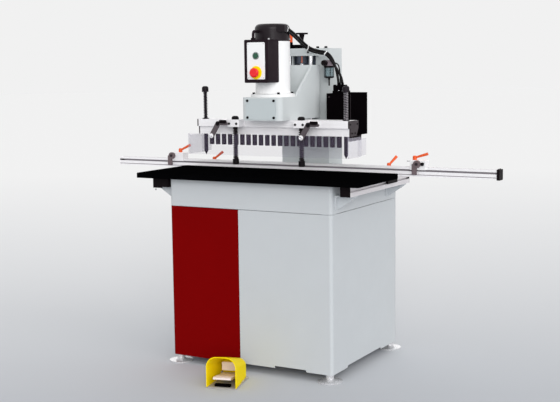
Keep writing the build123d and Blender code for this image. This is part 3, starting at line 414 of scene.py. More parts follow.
def screw(bm, place, way, radius, high):
    """Add a socket head screw with its six-sided recess."""
    r = radius
    h = high
    edge = 0.7
    key = 0.58 * r
    head = [(0, 0), (r, 0), (r, h - edge), (r - edge, h), (0.62 * r, h), (key, h, 6)]
    lathed(bm, head + [(key, 0.4 * h, 6), (0, 0.4 * h)], place, way)


def bolt(bm, place, way, radius, high):
    """Add a hexagon bolt head on its washer."""
    r = radius
    thick = 1.6
    wide = 1.45 * r
    lathed(bm, [(0, 0), (wide, 0), (wide, thick), (1.0 * r, thick)], place, way)
    top = [(r, thick, 6), (r, high - 0.8, 6), (0.86 * r, high), (0, high)]
    lathed(bm, top, place, way)


def link_mesh(name, mesh, slot, finish=None):
    """Make an object of a mesh with the material of a slot, or a finish of its own."""
    mesh.shade_smooth()
    mesh.set_sharp_from_angle(angle=radians(SHARP_ANGLE))
    mesh.materials.clear()
    mesh.materials.append(finish or MATERIALS[slot])
    obj = bpy.data.objects.new(name, mesh)
    bpy.context.scene.collection.objects.link(obj)
    return obj


def close_mesh(bm, name):
    """Join the seams of a form, turn its faces outwards and make a mesh of it."""
    bmesh.ops.remove_doubles(bm, verts=bm.verts, dist=JOIN_WIDTH)
    bmesh.ops.recalc_face_normals(bm, faces=bm.faces)
    mesh = bpy.data.meshes.new(name)
    bm.to_mesh(mesh)
    bm.free()
    return mesh


def piece(bm, name, body, slot, finish=None):
    """Finish a mesh as a piece that rides on a body."""
    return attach(link_mesh(name, close_mesh(bm, name), slot, finish), body)


def plate(name, front, outlines, thick, body, slot, bevel=0.4):
    """Upright flat plate with its front at a y, from an outline of (x, z) and outlines of its holes."""
    data = bpy.data.curves.new(name, "CURVE")
    data.dimensions = "2D"
    data.fill_mode = "BOTH"
    data.extrude = thick / 2000 - bevel / 1000
    data.bevel_depth = bevel / 1000
    data.bevel_resolution = 1
    for outline in outlines:
        spline = data.splines.new("POLY")
        spline.points.add(len(outline) - 1)
        spline.use_cyclic_u = True
        for point, (x, z) in zip(spline.points, outline):
            point.co = (x / 1000, z / 1000, 0, 1)
    source = bpy.data.objects.new(name, data)
    mesh = bpy.data.meshes.new_from_object(source)
    bpy.data.objects.remove(source)
    mesh.transform(Matrix.Translation(at(0, front + thick / 2, 0)) @ Matrix.Rotation(pi / 2, 4, "X"))
    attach(link_mesh(name, mesh, slot), body)


def rounded_outline(x0, x1, z0, z1, radius, steps=6):
    """Closed outline of a rectangle with round corners."""
    points = []
    for cx, cz, start in ((x1, z1, 0), (x0, z1, 90), (x0, z0, 180), (x1, z0, 270)):
        mx = cx - radius if cx == x1 else cx + radius
        mz = cz - radius if cz == z1 else cz + radius
        for k in range(steps + 1):
            a = radians(start + 90 * k / steps)
            points.append((mx + radius * cos(a), mz + radius * sin(a)))
    return points


def circle_outline(x, z, radius, steps=40):
    """Closed outline of a circle."""
    angles = [2 * pi * k / steps for k in range(steps)]
    return [(x + radius * cos(a), z + radius * sin(a)) for a in angles]


# Springs: closed turns at each end and their pitch in wire radii, points to a turn and round the wire
CLOSED_TURNS = 1.25
CLOSED_PITCH = 2.05
TURN_STEPS = 18
WIRE_SIDES = 8

# Turns, wire radius, height of the end that stays, and the share of the length left at the joint's end
INDEX_SPRING = (18, 1.6, 1075, 0.504)
PRESSER_SPRING = (16, 2.4, 1045, 0.77)


def make_spring(node, joint, slot, turns, wire, anchor_z, keep, finish=None):
    """Round-wire spring with closed ends, in place of the plain coil."""
    low, high = limits(node)
    middle = (low + high) / 2
    radius = (high.x - low.x) / 2 - wire
    rise = high.z - low.z - 2 * wire
    closed = CLOSED_TURNS
    tight = CLOSED_PITCH * wire
    open_rise = rise - 2 * closed * tight
    bm = bmesh.new()
    rows = []
    for k in range(TURN_STEPS * turns + 1):
        n = k / TURN_STEPS
        z = tight * min(n, closed) + tight * max(n - (turns - closed), 0)
        z += open_rise * min(max(n - closed, 0) / (turns - 2 * closed), 1)
        a = 2 * pi * n
        out = Vector((cos(a), sin(a), 0))
        row = []
        for j in range(WIRE_SIDES):
            b = 2 * pi * j / WIRE_SIDES
            p = out * (radius + wire * cos(b)) + Vector((0, 0, z + wire + wire * sin(b)))
            row.append(bm.verts.new(at(middle.x + p.x, middle.y + p.y, low.z + p.z)))
        rows.append(row)
    for a, b in zip(rows, rows[1:]):
        for j in range(WIRE_SIDES):
            after = (j + 1) % WIRE_SIDES
            bm.faces.new((a[j], a[after], b[after], b[j]))
    bm.faces.new(rows[0])
    bm.faces.new(rows[-1])
    spring = piece(bm, f"{node}_wire", "head", slot, finish)
    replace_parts(spring, node)
    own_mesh(spring)


def make_springs():
    """Springs of the index pins and of the pressers; the right index spring takes a pale steel that
    paints a reflection.
    """
    for side in SIDES:
        # Pale steel on the right spring only is painted reflection; the left one keeps the dark pin
        # colour
        finish = SPRING_PAINTED_REFLECTION if side == "right" else None
        index = (f"index_spring_{side}", f"index_pin_{side}_slide", "pin_steel")
        make_spring(*index, *INDEX_SPRING, finish)
        presser = (f"presser_spring_{side}", f"presser_{side}_slide", "presser_black")
        make_spring(*presser, *PRESSER_SPRING, SPRING_BLACK)


# Cables between the moving head and the switch box

CABLE_R = 5.6
TUBE_R = 3.0
CABLE_STEP = 9.2
GLAND = (82, 200.35, 1474)
GLAND_STEP = 11
PLUG_X = (202, 222)
PLUG_Y = 468
PLUG_TOP = 1208
ROUTE = ((83, 236, 1462), (77, 300, 1443), (70, 366, 1419), (67, 428, 1394), (82, 456, 1380),
         (114, 467, 1371), (143, 471, 1368), (168, 473, 1342))
AIR_ROUTE = ((163, 495, 1319), (187, 495, 1319), (191, 505, 1282), (191, 510, 1244), (191, 510, 1184))
TIE_PLACES = ((83, 210, 1468), (67, 424, 1392), (142, 470, 1366))

# Section of a tie: room over the cable and place along it
TIE_SECTION = ((0.3, -2), (1.5, -2), (1.5, 2), (0.3, 2))
TIE_STEPS = 32


def cable_route(k):
    """Route of one of the two cables from the cowl to its plug."""
    d = CABLE_STEP * k
    end = PLUG_X[k]
    last = ROUTE[-1][0]
    x, y, z = GLAND
    points = [(x, y, z - GLAND_STEP * k)] + [(x, y - d, z - d) for x, y, z in ROUTE]
    points.append((last + 0.5 * (end - last), 473 - d, 1302 - d))
    points.append((last + 0.82 * (end - last), 470 - d / 4, 1264))
    return points + [(end, PLUG_Y, 1234), (end, PLUG_Y, PLUG_TOP)]


def cable_mesh(name, points, radius):
    """Smooth line with the route's points as its control points, as a tube or a bare line."""
    data = bpy.data.curves.new(name, "CURVE")
    data.dimensions = "3D"
    data.bevel_depth = radius / 1000
    data.bevel_resolution = 4
    data.use_fill_caps = True
    data.resolution_u = 10
    spline = data.splines.new("NURBS")
    spline.points.add(len(points) - 1)
    for point, place in zip(spline.points, points):
        point.co = (*at(*place), 1)
    spline.order_u = 3
    spline.use_endpoint_u = True
    source = bpy.data.objects.new(name, data)
    mesh = bpy.data.meshes.new_from_object(source)
    bpy.data.objects.remove(source)
    return mesh


def bend(obj):
    """Bake a piece's placement into its mesh; the piece rides on no body."""
    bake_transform(obj)


def make_tie(name, place, other, way):
    """Narrow band round both cables."""
    across = other - place
    across = across - way * across.dot(way)
    half = across.length / 2
    middle = (place + other) / 2
    a = across.normalized()
    b = way.cross(a)
    bm = bmesh.new()
    rows = []
    for k in range(TIE_STEPS):
        angle = 2 * pi * k / TIE_STEPS
        shift = half if cos(angle) >= 0 else -half
        row = []
        for grow, along in TIE_SECTION:
            r = (CABLE_R + grow) / 1000
            p = a * (shift + r * cos(angle)) + b * (r * sin(angle)) + way * (along / 1000)
            row.append(bm.verts.new(middle + p))
        rows.append(row)
    sides = len(TIE_SECTION)
    for k in range(TIE_STEPS):
        low, high = rows[k], rows[(k + 1) % TIE_STEPS]
        for j in range(sides):
            after = (j + 1) % sides
            bm.faces.new((low[j], low[after], high[after], high[j]))
    tie = link_mesh(name, close_mesh(bm, name), "motor_white")
    bend(tie)
    return tie


def line_points(route):
    """Points along the smooth line of a route."""
    return [v.co.copy() for v in cable_mesh("line", route, 0).vertices]


def make_cables():
    """Two cables from the head to the switch box, their ties and the air tube."""
    lines = []
    for k in range(len(PLUG_X)):
        name = f"cable_{k + 1}"
        route = cable_route(k)
        cable = link_mesh(name, cable_mesh(name, route, CABLE_R), "cable_black")
        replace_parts(cable, "head_cables")
        bend(cable)
        lines.append(line_points(route))
    tube = link_mesh("air_tube", cable_mesh("air_tube", AIR_ROUTE, TUBE_R), "cable_black")
    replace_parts(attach(tube, "base"), "head_cables")
    for k, goal in enumerate(TIE_PLACES):
        n = min(range(1, len(lines[0]) - 1), key=lambda j: (lines[0][j] - at(*goal)).length)
        place = lines[0][n]
        way = (lines[0][n + 1] - lines[0][n - 1]).normalized()
        other = min(lines[1], key=lambda p: abs((p - place).dot(way)) + 0.2 * (p - place).length)
        make_tie(f"cable_tie_{k + 1}", place, other, way)
    line_points(AIR_ROUTE)


# Pieces of the head, in machine millimetres
PANEL_T = 1.6
PANEL_HALF = 43
PANEL_FOOT = 15
PANEL_HEAD = 170
PANEL_EDGE = 6
FLANGE_T = 20
FLANGE_BOLT_R = 86.5
COWL_SCREW_START = -72
COVER_EDGE = 9
PRESSER_X = 165
BLOCK_SCREW_Z = 1059
END_SCREWS = ((214, 1060), (284, 1060), (232, 1022), (262, 1022))
ARM_PIVOTS = {"left": -233.0, "right": 217.0}
ARM_Z = 1059.0
ARM_FOOT = (-33.5, -54.0)
ARM_FRONT = 143.0


def dress_control_box():
    """Light button panel with its screws, a bezel, the disc behind the mushroom button and a pipe nut."""
    low = limits("control_box")[0]
    face = low.y - PANEL_T
    start = limits("start_button")
    stop = limits("emergency_button")
    start_z = (start[0].z + start[1].z) / 2
    stop_z = (stop[0].z + stop[1].z) / 2
    holes = [circle_outline(0, start_z, 11.6), circle_outline(0, stop_z, 9.6)]
    outer = rounded_outline(-PANEL_HALF, PANEL_HALF, low.z + PANEL_FOOT, low.z + PANEL_HEAD, 5)
    plate("button_panel", face, [outer] + holes, PANEL_T, "head", "motor_white")
    bm = bmesh.new()
    bezel = [(11.8, 0), (16, 0), (16, 2.2), (14.5, 3.4), (12.4, 3.4), (11.8, 2.8), (11.8, 0)]
    lathed(bm, bezel, (0, face, start_z), FRONT, 40)
    piece(bm, "start_bezel", "head", "chrome", BEZEL_GREY)
    bm = bmesh.new()
    disc = [(9.8, 0), (28, 0), (28, 1.1), (27.3, 1.6), (9.8, 1.6), (9.8, 0)]
    lathed(bm, disc, (0, face, stop_z), FRONT, 48)
    piece(bm, "stop_disc", "head", "pedal_yellow")
    bm = bmesh.new()
    for side in SIDES.values():
        for z in (PANEL_FOOT + PANEL_EDGE, PANEL_HEAD - PANEL_EDGE):
            screw(bm, (side * (PANEL_HALF - PANEL_EDGE), face, low.z + z), FRONT, 2.6, 1.6)
    piece(bm, "button_panel_screws", "head", "chrome")
    bm = bmesh.new()
    nut = [(9.2, 0, 6), (11.5, 0, 6), (11.5, 6, 6), (10, 7.5), (7, 7.5)]
    lathed(bm, nut, (low.x + 30, low.y + 26, low.z + 182.2), UP)
    piece(bm, "elbow_nut", "head", "black_plastic")


def dress_motor():
    """Flange bolts and cowl screws."""
    body = limits("motor_body")
    cowl = limits("fan_cowl")
    y = (body[0].y + body[1].y) / 2
    flange_z = body[0].z + FLANGE_T
    bm = bmesh.new()
    for k in range(4):
        a = radians(45 + 90 * k)
        place = (FLANGE_BOLT_R * cos(a), y + FLANGE_BOLT_R * sin(a), flange_z)
        bolt(bm, place, UP, 6.6, 8.5)
    piece(bm, "flange_bolts", "head", "presser_black")
    bm = bmesh.new()
    radius = y - cowl[0].y
    for k in range(4):
        a = radians(COWL_SCREW_START + 90 * k)
        way = (cos(a), sin(a), 0)
        screw(bm, (radius * cos(a), y + radius * sin(a), cowl[0].z + 9), way, 4.0, 3.0)
    piece(bm, "cowl_screws", "head", "chrome")


def dress_gearbox():
    """Screws of the front cover."""
    low, high = limits("gearbox_cover")
    bm = bmesh.new()
    for x in (low.x + COVER_EDGE, high.x - COVER_EDGE):
        for z in (low.z + COVER_EDGE, high.z - COVER_EDGE):
            screw(bm, (x, low.y, z), FRONT, 5.6, 3.4)
    piece(bm, "cover_screws", "head", "presser_black")


def dress_beam():
    """Screws of the presser blocks and the end plates, and seats under the index springs."""
    front = limits("presser_blocks")[0].y
    bm = bmesh.new()
    for side in SIDES.values():
        for x in (-18.5, 18.5):
            screw(bm, (side * PRESSER_X + x, front, BLOCK_SCREW_Z), FRONT, 5.2, 3.0)
    piece(bm, "block_screws", "head", "presser_black")
    beam_top = limits("head_beam")[1].z
    bm = bmesh.new()
    for side in SIDES:
        pin_low, pin_high = limits(f"index_pin_{side}")
        x = (pin_low.x + pin_high.x) / 2
        y = (pin_low.y + pin_high.y) / 2
        seat = [(6.6, 0), (15, 0), (15, 2.6), (14, 3.4), (11.4, 3.4), (11.4, 1.2), (6.6, 1.2), (6.6, 0)]
        lathed(bm, seat, (x, y, beam_top), UP, 36)
    piece(bm, "spring_seats", "head", "presser_black")
    end_x = limits("end_plates")[1].x
    bm = bmesh.new()
    for side in SIDES.values():
        for y, z in END_SCREWS:
            screw(bm, (side * end_x, y, z), (side, 0, 0), 3.6, 2.6)
    piece(bm, "end_plate_screws", "head", "presser_black")


def dress_guard_arms():
    """Clamp on the ear of each arm, pivot bolt, and the pale washer with its bolt at the foot."""
    for side, x in ARM_PIVOTS.items():
        body = f"guard_arm_{side}"
        bm = bmesh.new()
        block(bm, (x + 14, ARM_FRONT - 14, ARM_Z + 3), (x + 49, ARM_FRONT, ARM_Z + 17), 2.5, 3)
        for k in range(4):
            rib = x + 21 + 6 * k
            block(bm, (rib, ARM_FRONT - 15, ARM_Z + 5), (rib + 2.5, ARM_FRONT - 13, ARM_Z + 15), 0.5)
        piece(bm, f"guard_clamp_{side}", body, "black_plastic")
        bm = bmesh.new()
        bolt(bm, (x, ARM_FRONT, ARM_Z), FRONT, 6.5, 6.5)
        piece(bm, f"guard_pivot_bolt_{side}", body, "presser_black")
        foot = (x + ARM_FOOT[0], ARM_FRONT, ARM_Z + ARM_FOOT[1])
        bm = bmesh.new()
        lathed(bm, [(0, 0), (10.5, 0), (10.5, 1.4), (9.8, 2), (0, 2)], foot, FRONT, 32)
        piece(bm, f"guard_washer_{side}", body, "block_white")
        bm = bmesh.new()
        screw(bm, (foot[0], ARM_FRONT - 2, foot[2]), FRONT, 5.6, 5)
        piece(bm, f"guard_bolt_{side}", body, "guide_steel")


# Pieces of the column, in machine millimetres
LINING_FOOT = 1252
LINING_RIB_X = (-80, 0, 80)
CROSSHEAD_BOLT_X = (-98, -56, 56, 98)
CROSSHEAD_SCREW_X = (-58, 46)
LID_SCREW_X = (168, 240)
LID_SCREW_EDGE = 16
BAND_SCREW_X = (212, 232)
BOX_TOP = 1184
BOX_BOTTOM = 994
SOCKET_X = (187, 240)
LOWER_GLAND_X = 226
LOWER_GLAND_Y = (537, 581, 625)
BOWL_X = 142
BOWL_Y = 495
STRAP_R = 21.3
STRAP_TURNS = (200, 250, 310, 20)
KNOB_RIBS = 12
KNOB_RIB_R = 11.6


def dress_crosshead():
    """Depth block and pointer in front of the knob, strip on the collar, a ribbed sheet of painted shade
    inside the column, bolts and screws.
    """
    top = limits("column")[1].z
    bm = bmesh.new()
    block(bm, (-54, 477, top), (26, 489, top + 17), 1.5)
    block(bm, (-52, 479, top + 16), (-37, 487, top + 28), 1.0)
    piece(bm, "depth_block", "base", "black_plastic", BOX_BLACK)
    bm = bmesh.new()
    block(bm, (-52, 480, top + 27), (-37, 486, top + 62), 1.6, 3)
    block(bm, (-50, 478.6, top + 36), (-39, 481, top + 58), 0.8)
    piece(bm, "depth_pointer", "base", "lever_orange")
    bm = bmesh.new()
    block(bm, (9, 479.5, top - 66), (15, 482, top - 36), 0.8)
    block(bm, (7.5, 478.8, top - 62), (16.5, 481, top - 56), 0.6)
    piece(bm, "collar_strip", "base", "lever_orange", COPPER)
    # Ribbed dark sheet across the column's opening: painted shade inside the column
    bm = bmesh.new()
    block(bm, (-110, 541, LINING_FOOT), (110, 544, top - 34), 0.6)
    for x in LINING_RIB_X:
        block(bm, (x - 3, 539.6, LINING_FOOT + 6), (x + 3, 541.4, top - 40), 0.6)
    piece(bm, "column_painted_shade_sheet", "base", "end_dark", PAINTED_SHADE_BLUE)
    bm = bmesh.new()
    for x in CROSSHEAD_BOLT_X:
        bolt(bm, (x, 552, top), UP, 7.5, 9)
    piece(bm, "crosshead_bolts", "base", "presser_black")
    bm = bmesh.new()
    for x in CROSSHEAD_SCREW_X:
        screw(bm, (x, 476, top - 18), FRONT, 4.6, 3)
    piece(bm, "crosshead_screws", "base", "presser_black")


def dress_switch_box():
    """Lid screws and seal, plugs with their bands, and gland nuts of the switch box."""
    low, high = limits("electrical_box")
    top = BOX_TOP
    bottom = BOX_BOTTOM
    bm = bmesh.new()
    for x in LID_SCREW_X:
        for z in (bottom + LID_SCREW_EDGE, top - LID_SCREW_EDGE):
            screw(bm, (x, low.y, z), FRONT, 3.6, 2.2)
    piece(bm, "lid_screws", "base", "end_dark")
    bm = bmesh.new()
    for x in PLUG_X:
        ring_nut = [(9.6, 0), (11.6, 0, 12), (11.6, 8, 12), (10.6, 9.5), (9.6, 9.5), (9.6, 0)]
        lathed(bm, ring_nut, (x, PLUG_Y, top + 13), UP, 48)
        boot = [(9.4, 0), (8.6, 6), (8.6, 9), (7.8, 9), (7.8, 12), (7.0, 12), (7.0, 15), (6.0, 15)]
        lathed(bm, boot + [(6.0, 22), (5.7, 24)], (x, PLUG_Y, top + 24), UP, 32)
    for x in SOCKET_X:
        socket = [(0, 0), (9, 0, 6), (9, 7, 6), (8, 8), (8, 20), (7, 22), (7, 25), (5.5, 26), (0, 26)]
        lathed(bm, socket, (x, 462, top + 12.4), UP)
    piece(bm, "plug_rings", "base", "black_plastic", BOX_BLACK)
    bm = bmesh.new()
    for x in PLUG_X:
        band = [(10.2, 0), (11.9, 0), (11.9, 1.6), (10.2, 1.6), (10.2, 0)]
        lathed(bm, band, (x, PLUG_Y, top + 9.6), UP, 40)
    for x in BAND_SCREW_X:
        screw(bm, (x, 449, top + 12), UP, 3.0, 2.2)
    piece(bm, "plug_bands", "base", "guide_steel")
    bm = bmesh.new()
    block(bm, (high.x - 0.6, low.y + 33.2, bottom + 4), (high.x + 0.6, low.y + 35.2, top - 4), 0.3)
    piece(bm, "lid_seal", "base", "end_dark")
    bm = bmesh.new()
    for y in LOWER_GLAND_Y:
        nut = [(12.2, 0), (15, 0, 6), (15, 7, 6), (13.5, 8.5), (12.2, 8.5)]
        lathed(bm, nut, (LOWER_GLAND_X, y, bottom), DOWN)
        dome = [(12.2, 0), (14, 0, 6), (14, 9, 6), (12, 14), (8, 17), (4.5, 18), (0, 18)]
        lathed(bm, dome, (LOWER_GLAND_X, y, bottom - 12), DOWN)
    piece(bm, "gland_nuts", "base", "end_dark")


def dress_regulator():
    """Guard, clear shell and drain of the bowl, and ribs on the setting knob."""
    low, high = limits("air_regulator")
    x = BOWL_X
    y = BOWL_Y
    neck = high.z - 26
    bm = bmesh.new()
    collar = [(18.2, 0), (23, 0), (23, 7), (21.8, 8.2), (18.2, 8.2), (18.2, 0)]
    lathed(bm, collar, (x, y, neck), DOWN, 36)
    foot = [(20.4, 0), (22.4, 0), (22.4, 5), (15, 8), (9, 8), (9, 6.8), (14.6, 6.8), (20.4, 4), (20.4, 0)]
    lathed(bm, foot, (x, y, neck - 47), DOWN, 36)
    for turn in STRAP_TURNS:
        a = radians(turn)
        strap = (x + STRAP_R * cos(a), y + STRAP_R * sin(a), neck - 8)
        lathed(bm, [(0, 0), (1.3, 0), (1.3, 40), (0, 40)], strap, DOWN, 10)
    piece(bm, "bowl_guard", "base", "black_plastic")
    bm = bmesh.new()
    shell = [(19.4, 0), (20.8, 0), (20.8, 39), (19.4, 39), (19.4, 0)]
    lathed(bm, shell, (x, y, neck - 8), DOWN, 40)
    piece(bm, "bowl_shell", "base", "clear_guard", CLEAR_BOWL)
    bm = bmesh.new()
    drain = [(7.6, 0), (7.6, 3), (4, 4), (4, 9), (5.5, 9.5), (5.5, 14), (3.4, 15), (3.4, 42), (0, 42)]
    lathed(bm, drain, (x, y, low.z + 0.2), DOWN, 24)
    piece(bm, "bowl_drain", "base", "black_plastic")
    knob_low, knob_high = limits("regulator_knob")
    middle = (knob_low + knob_high) / 2
    bm = bmesh.new()
    for k in range(KNOB_RIBS):
        a = 2 * pi * k / KNOB_RIBS
        place = (middle.x + KNOB_RIB_R * cos(a), knob_low.y + 2.5, middle.z + KNOB_RIB_R * sin(a))
        lathed(bm, [(0, 0), (1.1, 0), (1.1, 18), (0, 18)], place, BACK, 8)
    piece(bm, "regulator_knob_ribs", "regulator_knob", "black_plastic")


# Pieces of the table, rails and fence, in machine millimetres
RAIL_INNER = 437
RAIL_OUTER = 482
BRACKET_SCREWS = ((14, 770), (520, 770))
SLOT_FOOT = 855.6
SLOT_HEAD = 862.4
CAP_SCREW_Y = (404, 428)
CROSS_PIN_Y = 400
CROSS_PIN_Z = 898
SIDE_KNOB_X = 637
SIDE_KNOB_Z = 888
HUB_X = {"left": -647, "right": 612}
HUB_Z = 887.5


def dress_rails():
    """Black end caps of the side rails, a black block beside the left one that paints the shade between
    that rail and the cabinet, and bracket screws.
    """
    low, high = limits("side_rails")
    bm = bmesh.new()
    for side in SIDES.values():
        for y0, y1 in ((low.y - 4, low.y), (high.y, high.y + 4)):
            block(bm, (side * RAIL_INNER, y0, low.z), (side * RAIL_OUTER, y1, high.z), 1.2)
    # Black block between the left rail and the cabinet: painted shade seen past the left cap
    block(bm, (-438, low.y - 4, low.z + 3), (-401, low.y + 30, high.z - 3), 1.2)
    block(bm, (-434, low.y - 5.2, low.z + 9), (-408, low.y - 3, high.z - 9), 0.8)
    piece(bm, "rail_caps_and_painted_shade", "base", "black_plastic")
    bm = bmesh.new()
    for side in SIDES.values():
        for y, z in BRACKET_SCREWS:
            screw(bm, (side * (RAIL_OUTER - 1), y, z), (side, 0, 0), 4.2, 3)
    piece(bm, "bracket_screws", "base", "chrome")


def dress_fence():
    """Plug in the fence slot and screws of the end cap."""
    low, high = limits("fence_rail")
    bm = bmesh.new()
    block(bm, (low.x + 1, low.y - 1.2, SLOT_FOOT), (low.x + 25, low.y + 2.6, SLOT_HEAD), 0.8)
    piece(bm, "fence_slot_plug", "fence", "black_plastic")
    bm = bmesh.new()
    cap_x = limits("fence_carriers")[1].x
    for y in CAP_SCREW_Y:
        screw(bm, (cap_x - 8, y, high.z + 3), UP, 3.6, 2.4)
    piece(bm, "fence_cap_screws", "fence", "end_dark")


def dress_stops():
    """Cross pin and knob on the right stop, and hub screws of both fingers."""
    low = limits("stop_block_right")[0]
    bm = bmesh.new()
    pin = [(0, 0), (3.2, 0), (3.2, 8), (2.2, 8), (2.2, 17), (1.6, 18), (0, 18)]
    lathed(bm, pin, (low.x + 0.2, CROSS_PIN_Y, CROSS_PIN_Z), (-1, 0, 0))
    piece(bm, "stop_cross_pin", "stop_block_right", "guide_steel")
    bm = bmesh.new()
    knob = [(0, 0), (4, 0), (4, 3), (6.6, 4), (7.4, 6), (7.4, 10), (5.8, 12), (0, 12)]
    lathed(bm, knob, (SIDE_KNOB_X, low.y + 0.2, SIDE_KNOB_Z), FRONT)
    piece(bm, "stop_side_knob", "stop_block_right", "presser_black")
    for side, x in HUB_X.items():
        finger = f"stop_finger_{side}"
        bm = bmesh.new()
        screw(bm, (x, limits(finger)[0].y, HUB_Z), FRONT, 6.5, 5)
        piece(bm, f"finger_screw_{side}", finger, "end_dark")


# Foot pedal, made round zero: then its place along y in millimetres, and its turn in degrees
PEDAL_Y = -181
PEDAL_TURN = 14.4


def set_pedal(bm):
    """Move a form that was made round zero to the pedal's place and turn."""
    zero = at(0, 0, 0)
    turn = Matrix.Rotation(radians(PEDAL_TURN), 4, "Z")
    bm.transform(Matrix.Translation(at(0, PEDAL_Y, 0)) @ turn @ Matrix.Translation(-zero))


def dress_pedal():
    """Pale flap behind the tread, black buffer under its front edge and the base screws."""
    bm = bmesh.new()
    block(bm, (-35, 31, 44), (35, 34, 80), 1.2)
    for x in (-24, 0, 24):
        block(bm, (x - 2, 29.6, 48), (x + 2, 32, 76), 0.6)
    set_pedal(bm)
    piece(bm, "pedal_flap", "base", "pedal_metal")
    bm = bmesh.new()
    block(bm, (-34, -78, 5), (34, -58, 15), 1.5)
    for x in (-22, 0, 22):
        block(bm, (x - 4, -79, 8), (x + 4, -77, 12), 0.6)
    set_pedal(bm)
    piece(bm, "pedal_buffer", "base", "black_plastic", BOX_BLACK)
    bm = bmesh.new()
    for x in (-60, 60):
        for y in (20, 76):
            screw(bm, (x, y, 5), UP, 3.4, 3.0)
    set_pedal(bm)
    piece(bm, "pedal_screws", "base", "chrome")


# Stage

SENSOR_WIDTH = 36.0
VIEW_END = 200.0


def make_camera():
    """Camera that stands where the photograph was taken from."""
    data = bpy.data.cameras.new("camera")
    data.sensor_width = SENSOR_WIDTH
    data.lens = LENS
    data.clip_end = VIEW_END
    camera = bpy.data.objects.new("camera", data)
    bpy.context.scene.collection.objects.link(camera)
    turn = Matrix.Rotation(radians(YAW), 4, "Z") @ Matrix.Rotation(radians(90 - TILT), 4, "X")
    turn = turn @ Matrix.Rotation(radians(ROLL), 4, "Z")
    camera.matrix_world = Matrix.Translation(EYE) @ turn
    bpy.context.scene.camera = camera


# Floor tone near the camera's foot and far from it: display values, and distances in metres
NEAR_TONE = (192, 195, 200)
FAR_TONE = (241, 241, 241)
NEAR_DISTANCE = 4.2
FAR_DISTANCE = 13.4
TONE_STEPS = 10
FLOOR_REACH = 16.0

# Light that falls on the floor, and the most that its paint gives back: the rest of a tone is glow
FLOOR_LIGHT = 0.9
FLOOR_LIMIT = 0.7
FLOOR_RADIUS = 60.0
FLOOR_Z = -0.0005


def tone_ramp(tree, colours):
    """Colour ramp with a stop for every place and colour."""
    ramp = tree.nodes.new("ShaderNodeValToRGB")
    stops = ramp.color_ramp.elements
    while len(stops) < len(colours):
        stops.new(0.5)
    for stop, (place, colour) in zip(stops, colours):
        stop.position = place
        stop.color = colour
    return ramp


def floor_material():
    """Floor paint whose tone goes with the distance from the camera's foot."""
    material = bpy.data.materials.new("floor")
    material.use_nodes = True
    tree = material.node_tree
    tree.nodes.clear()
    where = tree.nodes.new("ShaderNodeTexCoord")
    split = tree.nodes.new("ShaderNodeSeparateXYZ")
    share = tree.nodes.new("ShaderNodeMath")
    share.operation = "DIVIDE"
    share.inputs[1].default_value = FLOOR_REACH
    tree.links.new(where.outputs["Object"], split.inputs["Vector"])
    tree.links.new(split.outputs["Y"], share.inputs[0])
    paint_tones = []
    glow_tones = []
    for k in range(TONE_STEPS):
        far = k / (TONE_STEPS - 1)
        distance = 1 / ((1 - far) / NEAR_DISTANCE + far / FAR_DISTANCE)
        wanted = srgb(*[a + far * (b - a) for a, b in zip(NEAR_TONE, FAR_TONE)])[:3]
        own = [min(c / FLOOR_LIGHT, FLOOR_LIMIT) for c in wanted]
        rest = [max(c - o * FLOOR_LIGHT, 0.0) for c, o in zip(wanted, own)]
        paint_tones.append((distance / FLOOR_REACH, (*own, 1.0)))
        glow_tones.append((distance / FLOOR_REACH, (*rest, 1.0)))
    paint = tone_ramp(tree, paint_tones)
    glow = tone_ramp(tree, glow_tones)
    tree.links.new(share.outputs[0], paint.inputs["Fac"])
    tree.links.new(share.outputs[0], glow.inputs["Fac"])
    diffuse = tree.nodes.new("ShaderNodeBsdfDiffuse")
    tree.links.new(paint.outputs["Color"], diffuse.inputs["Color"])
    light = tree.nodes.new("ShaderNodeEmission")
    tree.links.new(glow.outputs["Color"], light.inputs["Color"])
    ray = tree.nodes.new("ShaderNodeLightPath")
    tree.links.new(ray.outputs["Is Camera Ray"], light.inputs["Strength"])
    total = tree.nodes.new("ShaderNodeAddShader")
    tree.links.new(diffuse.outputs[0], total.inputs[0])
    tree.links.new(light.outputs[0], total.inputs[1])
    out = tree.nodes.new("ShaderNodeOutputMaterial")
    tree.links.new(total.outputs[0], out.inputs["Surface"])
    return material


def make_floor():
    """Pale floor that lightens towards the distance, as in the photograph."""
    bm = bmesh.new()
    bmesh.ops.create_circle(bm, cap_ends=True, segments=96, radius=FLOOR_RADIUS)
    mesh = bpy.data.meshes.new("floor")
    bm.to_mesh(mesh)
    bm.free()
    floor = bpy.data.objects.new("floor", mesh)
    bpy.context.scene.collection.objects.link(floor)
    turn = Matrix.Rotation(radians(YAW), 4, "Z")
    floor.matrix_world = Matrix.Translation((EYE[0], EYE[1], FLOOR_Z)) @ turn
    mesh.materials.append(floor_material())


WORLD_LIGHT = 0.64
BACKDROP = (241, 241, 241)


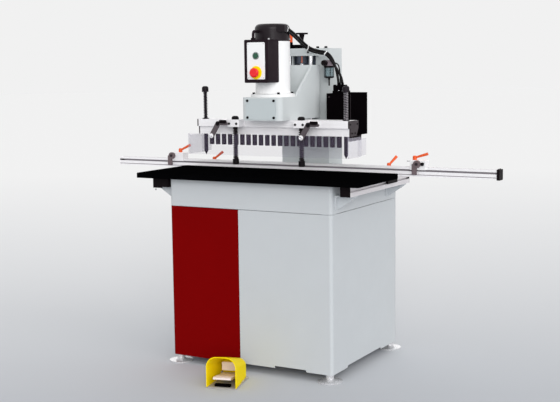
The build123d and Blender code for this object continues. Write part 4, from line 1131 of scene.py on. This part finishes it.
def make_world():
    """Even pale surround: plain light on the object, the backdrop's tone where it is seen or mirrored."""
    world = bpy.data.worlds.new("surround")
    bpy.context.scene.world = world
    world.use_nodes = True
    tree = world.node_tree
    tree.nodes.clear()
    ray = tree.nodes.new("ShaderNodeLightPath")
    seen = tree.nodes.new("ShaderNodeMath")
    seen.operation = "MAXIMUM"
    tree.links.new(ray.outputs["Is Camera Ray"], seen.inputs[0])
    tree.links.new(ray.outputs["Is Glossy Ray"], seen.inputs[1])
    also = tree.nodes.new("ShaderNodeMath")
    also.operation = "MAXIMUM"
    tree.links.new(seen.outputs[0], also.inputs[0])
    tree.links.new(ray.outputs["Is Transmission Ray"], also.inputs[1])
    lit = tree.nodes.new("ShaderNodeBackground")
    lit.inputs["Color"].default_value = (1.0, 1.0, 1.0, 1.0)
    lit.inputs["Strength"].default_value = WORLD_LIGHT
    back = tree.nodes.new("ShaderNodeBackground")
    back.inputs["Color"].default_value = srgb(*BACKDROP)
    back.inputs["Strength"].default_value = 1.0
    mix = tree.nodes.new("ShaderNodeMixShader")
    tree.links.new(also.outputs[0], mix.inputs["Fac"])
    tree.links.new(lit.outputs[0], mix.inputs[1])
    tree.links.new(back.outputs[0], mix.inputs[2])
    out = tree.nodes.new("ShaderNodeOutputWorld")
    tree.links.new(mix.outputs[0], out.inputs["Surface"])


# Lamps: name, azimuth, elevation, strength and spread, with the angles in degrees
LAMPS = (
    ("front", 31, 16, 1.19, 30),
    ("key", 68, 20, 0.78, 55),
    ("back_fill", 205, 35, 0.4, 60),
)
LAMP_DISTANCE = 8


def soft_lamp(name, azimuth, elevation, strength, spread):
    """Wide far lamp from an azimuth and an elevation, so that its light is even over the floor."""
    data = bpy.data.lights.new(name, "SUN")
    data.energy = strength
    data.angle = radians(spread)
    lamp = bpy.data.objects.new(name, data)
    bpy.context.scene.collection.objects.link(lamp)
    a = radians(azimuth)
    e = radians(elevation)
    way = Vector((sin(a) * cos(e), -cos(a) * cos(e), sin(e)))
    lamp.location = way * LAMP_DISTANCE
    lamp.rotation_mode = "QUATERNION"
    lamp.rotation_quaternion = way.to_track_quat("Z", "Y")


def make_lights():
    """All lamps of the stage."""
    for lamp in LAMPS:
        soft_lamp(*lamp)


make_camera()
make_cables()
dress_nodes()
# Bent ends of the guard take painted reflection
dress_faces("guard_shield", CLEAR_WING_PAINTED_REFLECTION, is_wing)
dress_faces("guard_shield", CLEAR_EDGE, is_cut_edge)
dress_faces("air_regulator", CLEAR_BOWL, is_bowl)
# Collar of the feed rod under the crosshead takes painted shade
dress_faces("column", PAINTED_SHADE_BLUE, is_collar)
# Walls of the fence slot take painted shade
dress_faces("fence_rail", SLOT_PAINTED_SHADE, inside_of("fence_rail"))
make_springs()
dress_control_box()
dress_motor()
dress_gearbox()
dress_beam()
dress_guard_arms()
dress_crosshead()
dress_switch_box()
dress_regulator()
dress_rails()
dress_fence()
dress_stops()
dress_pedal()
make_floor()
make_world()
make_lights()
bpy.context.scene.view_settings.view_transform = "Standard"
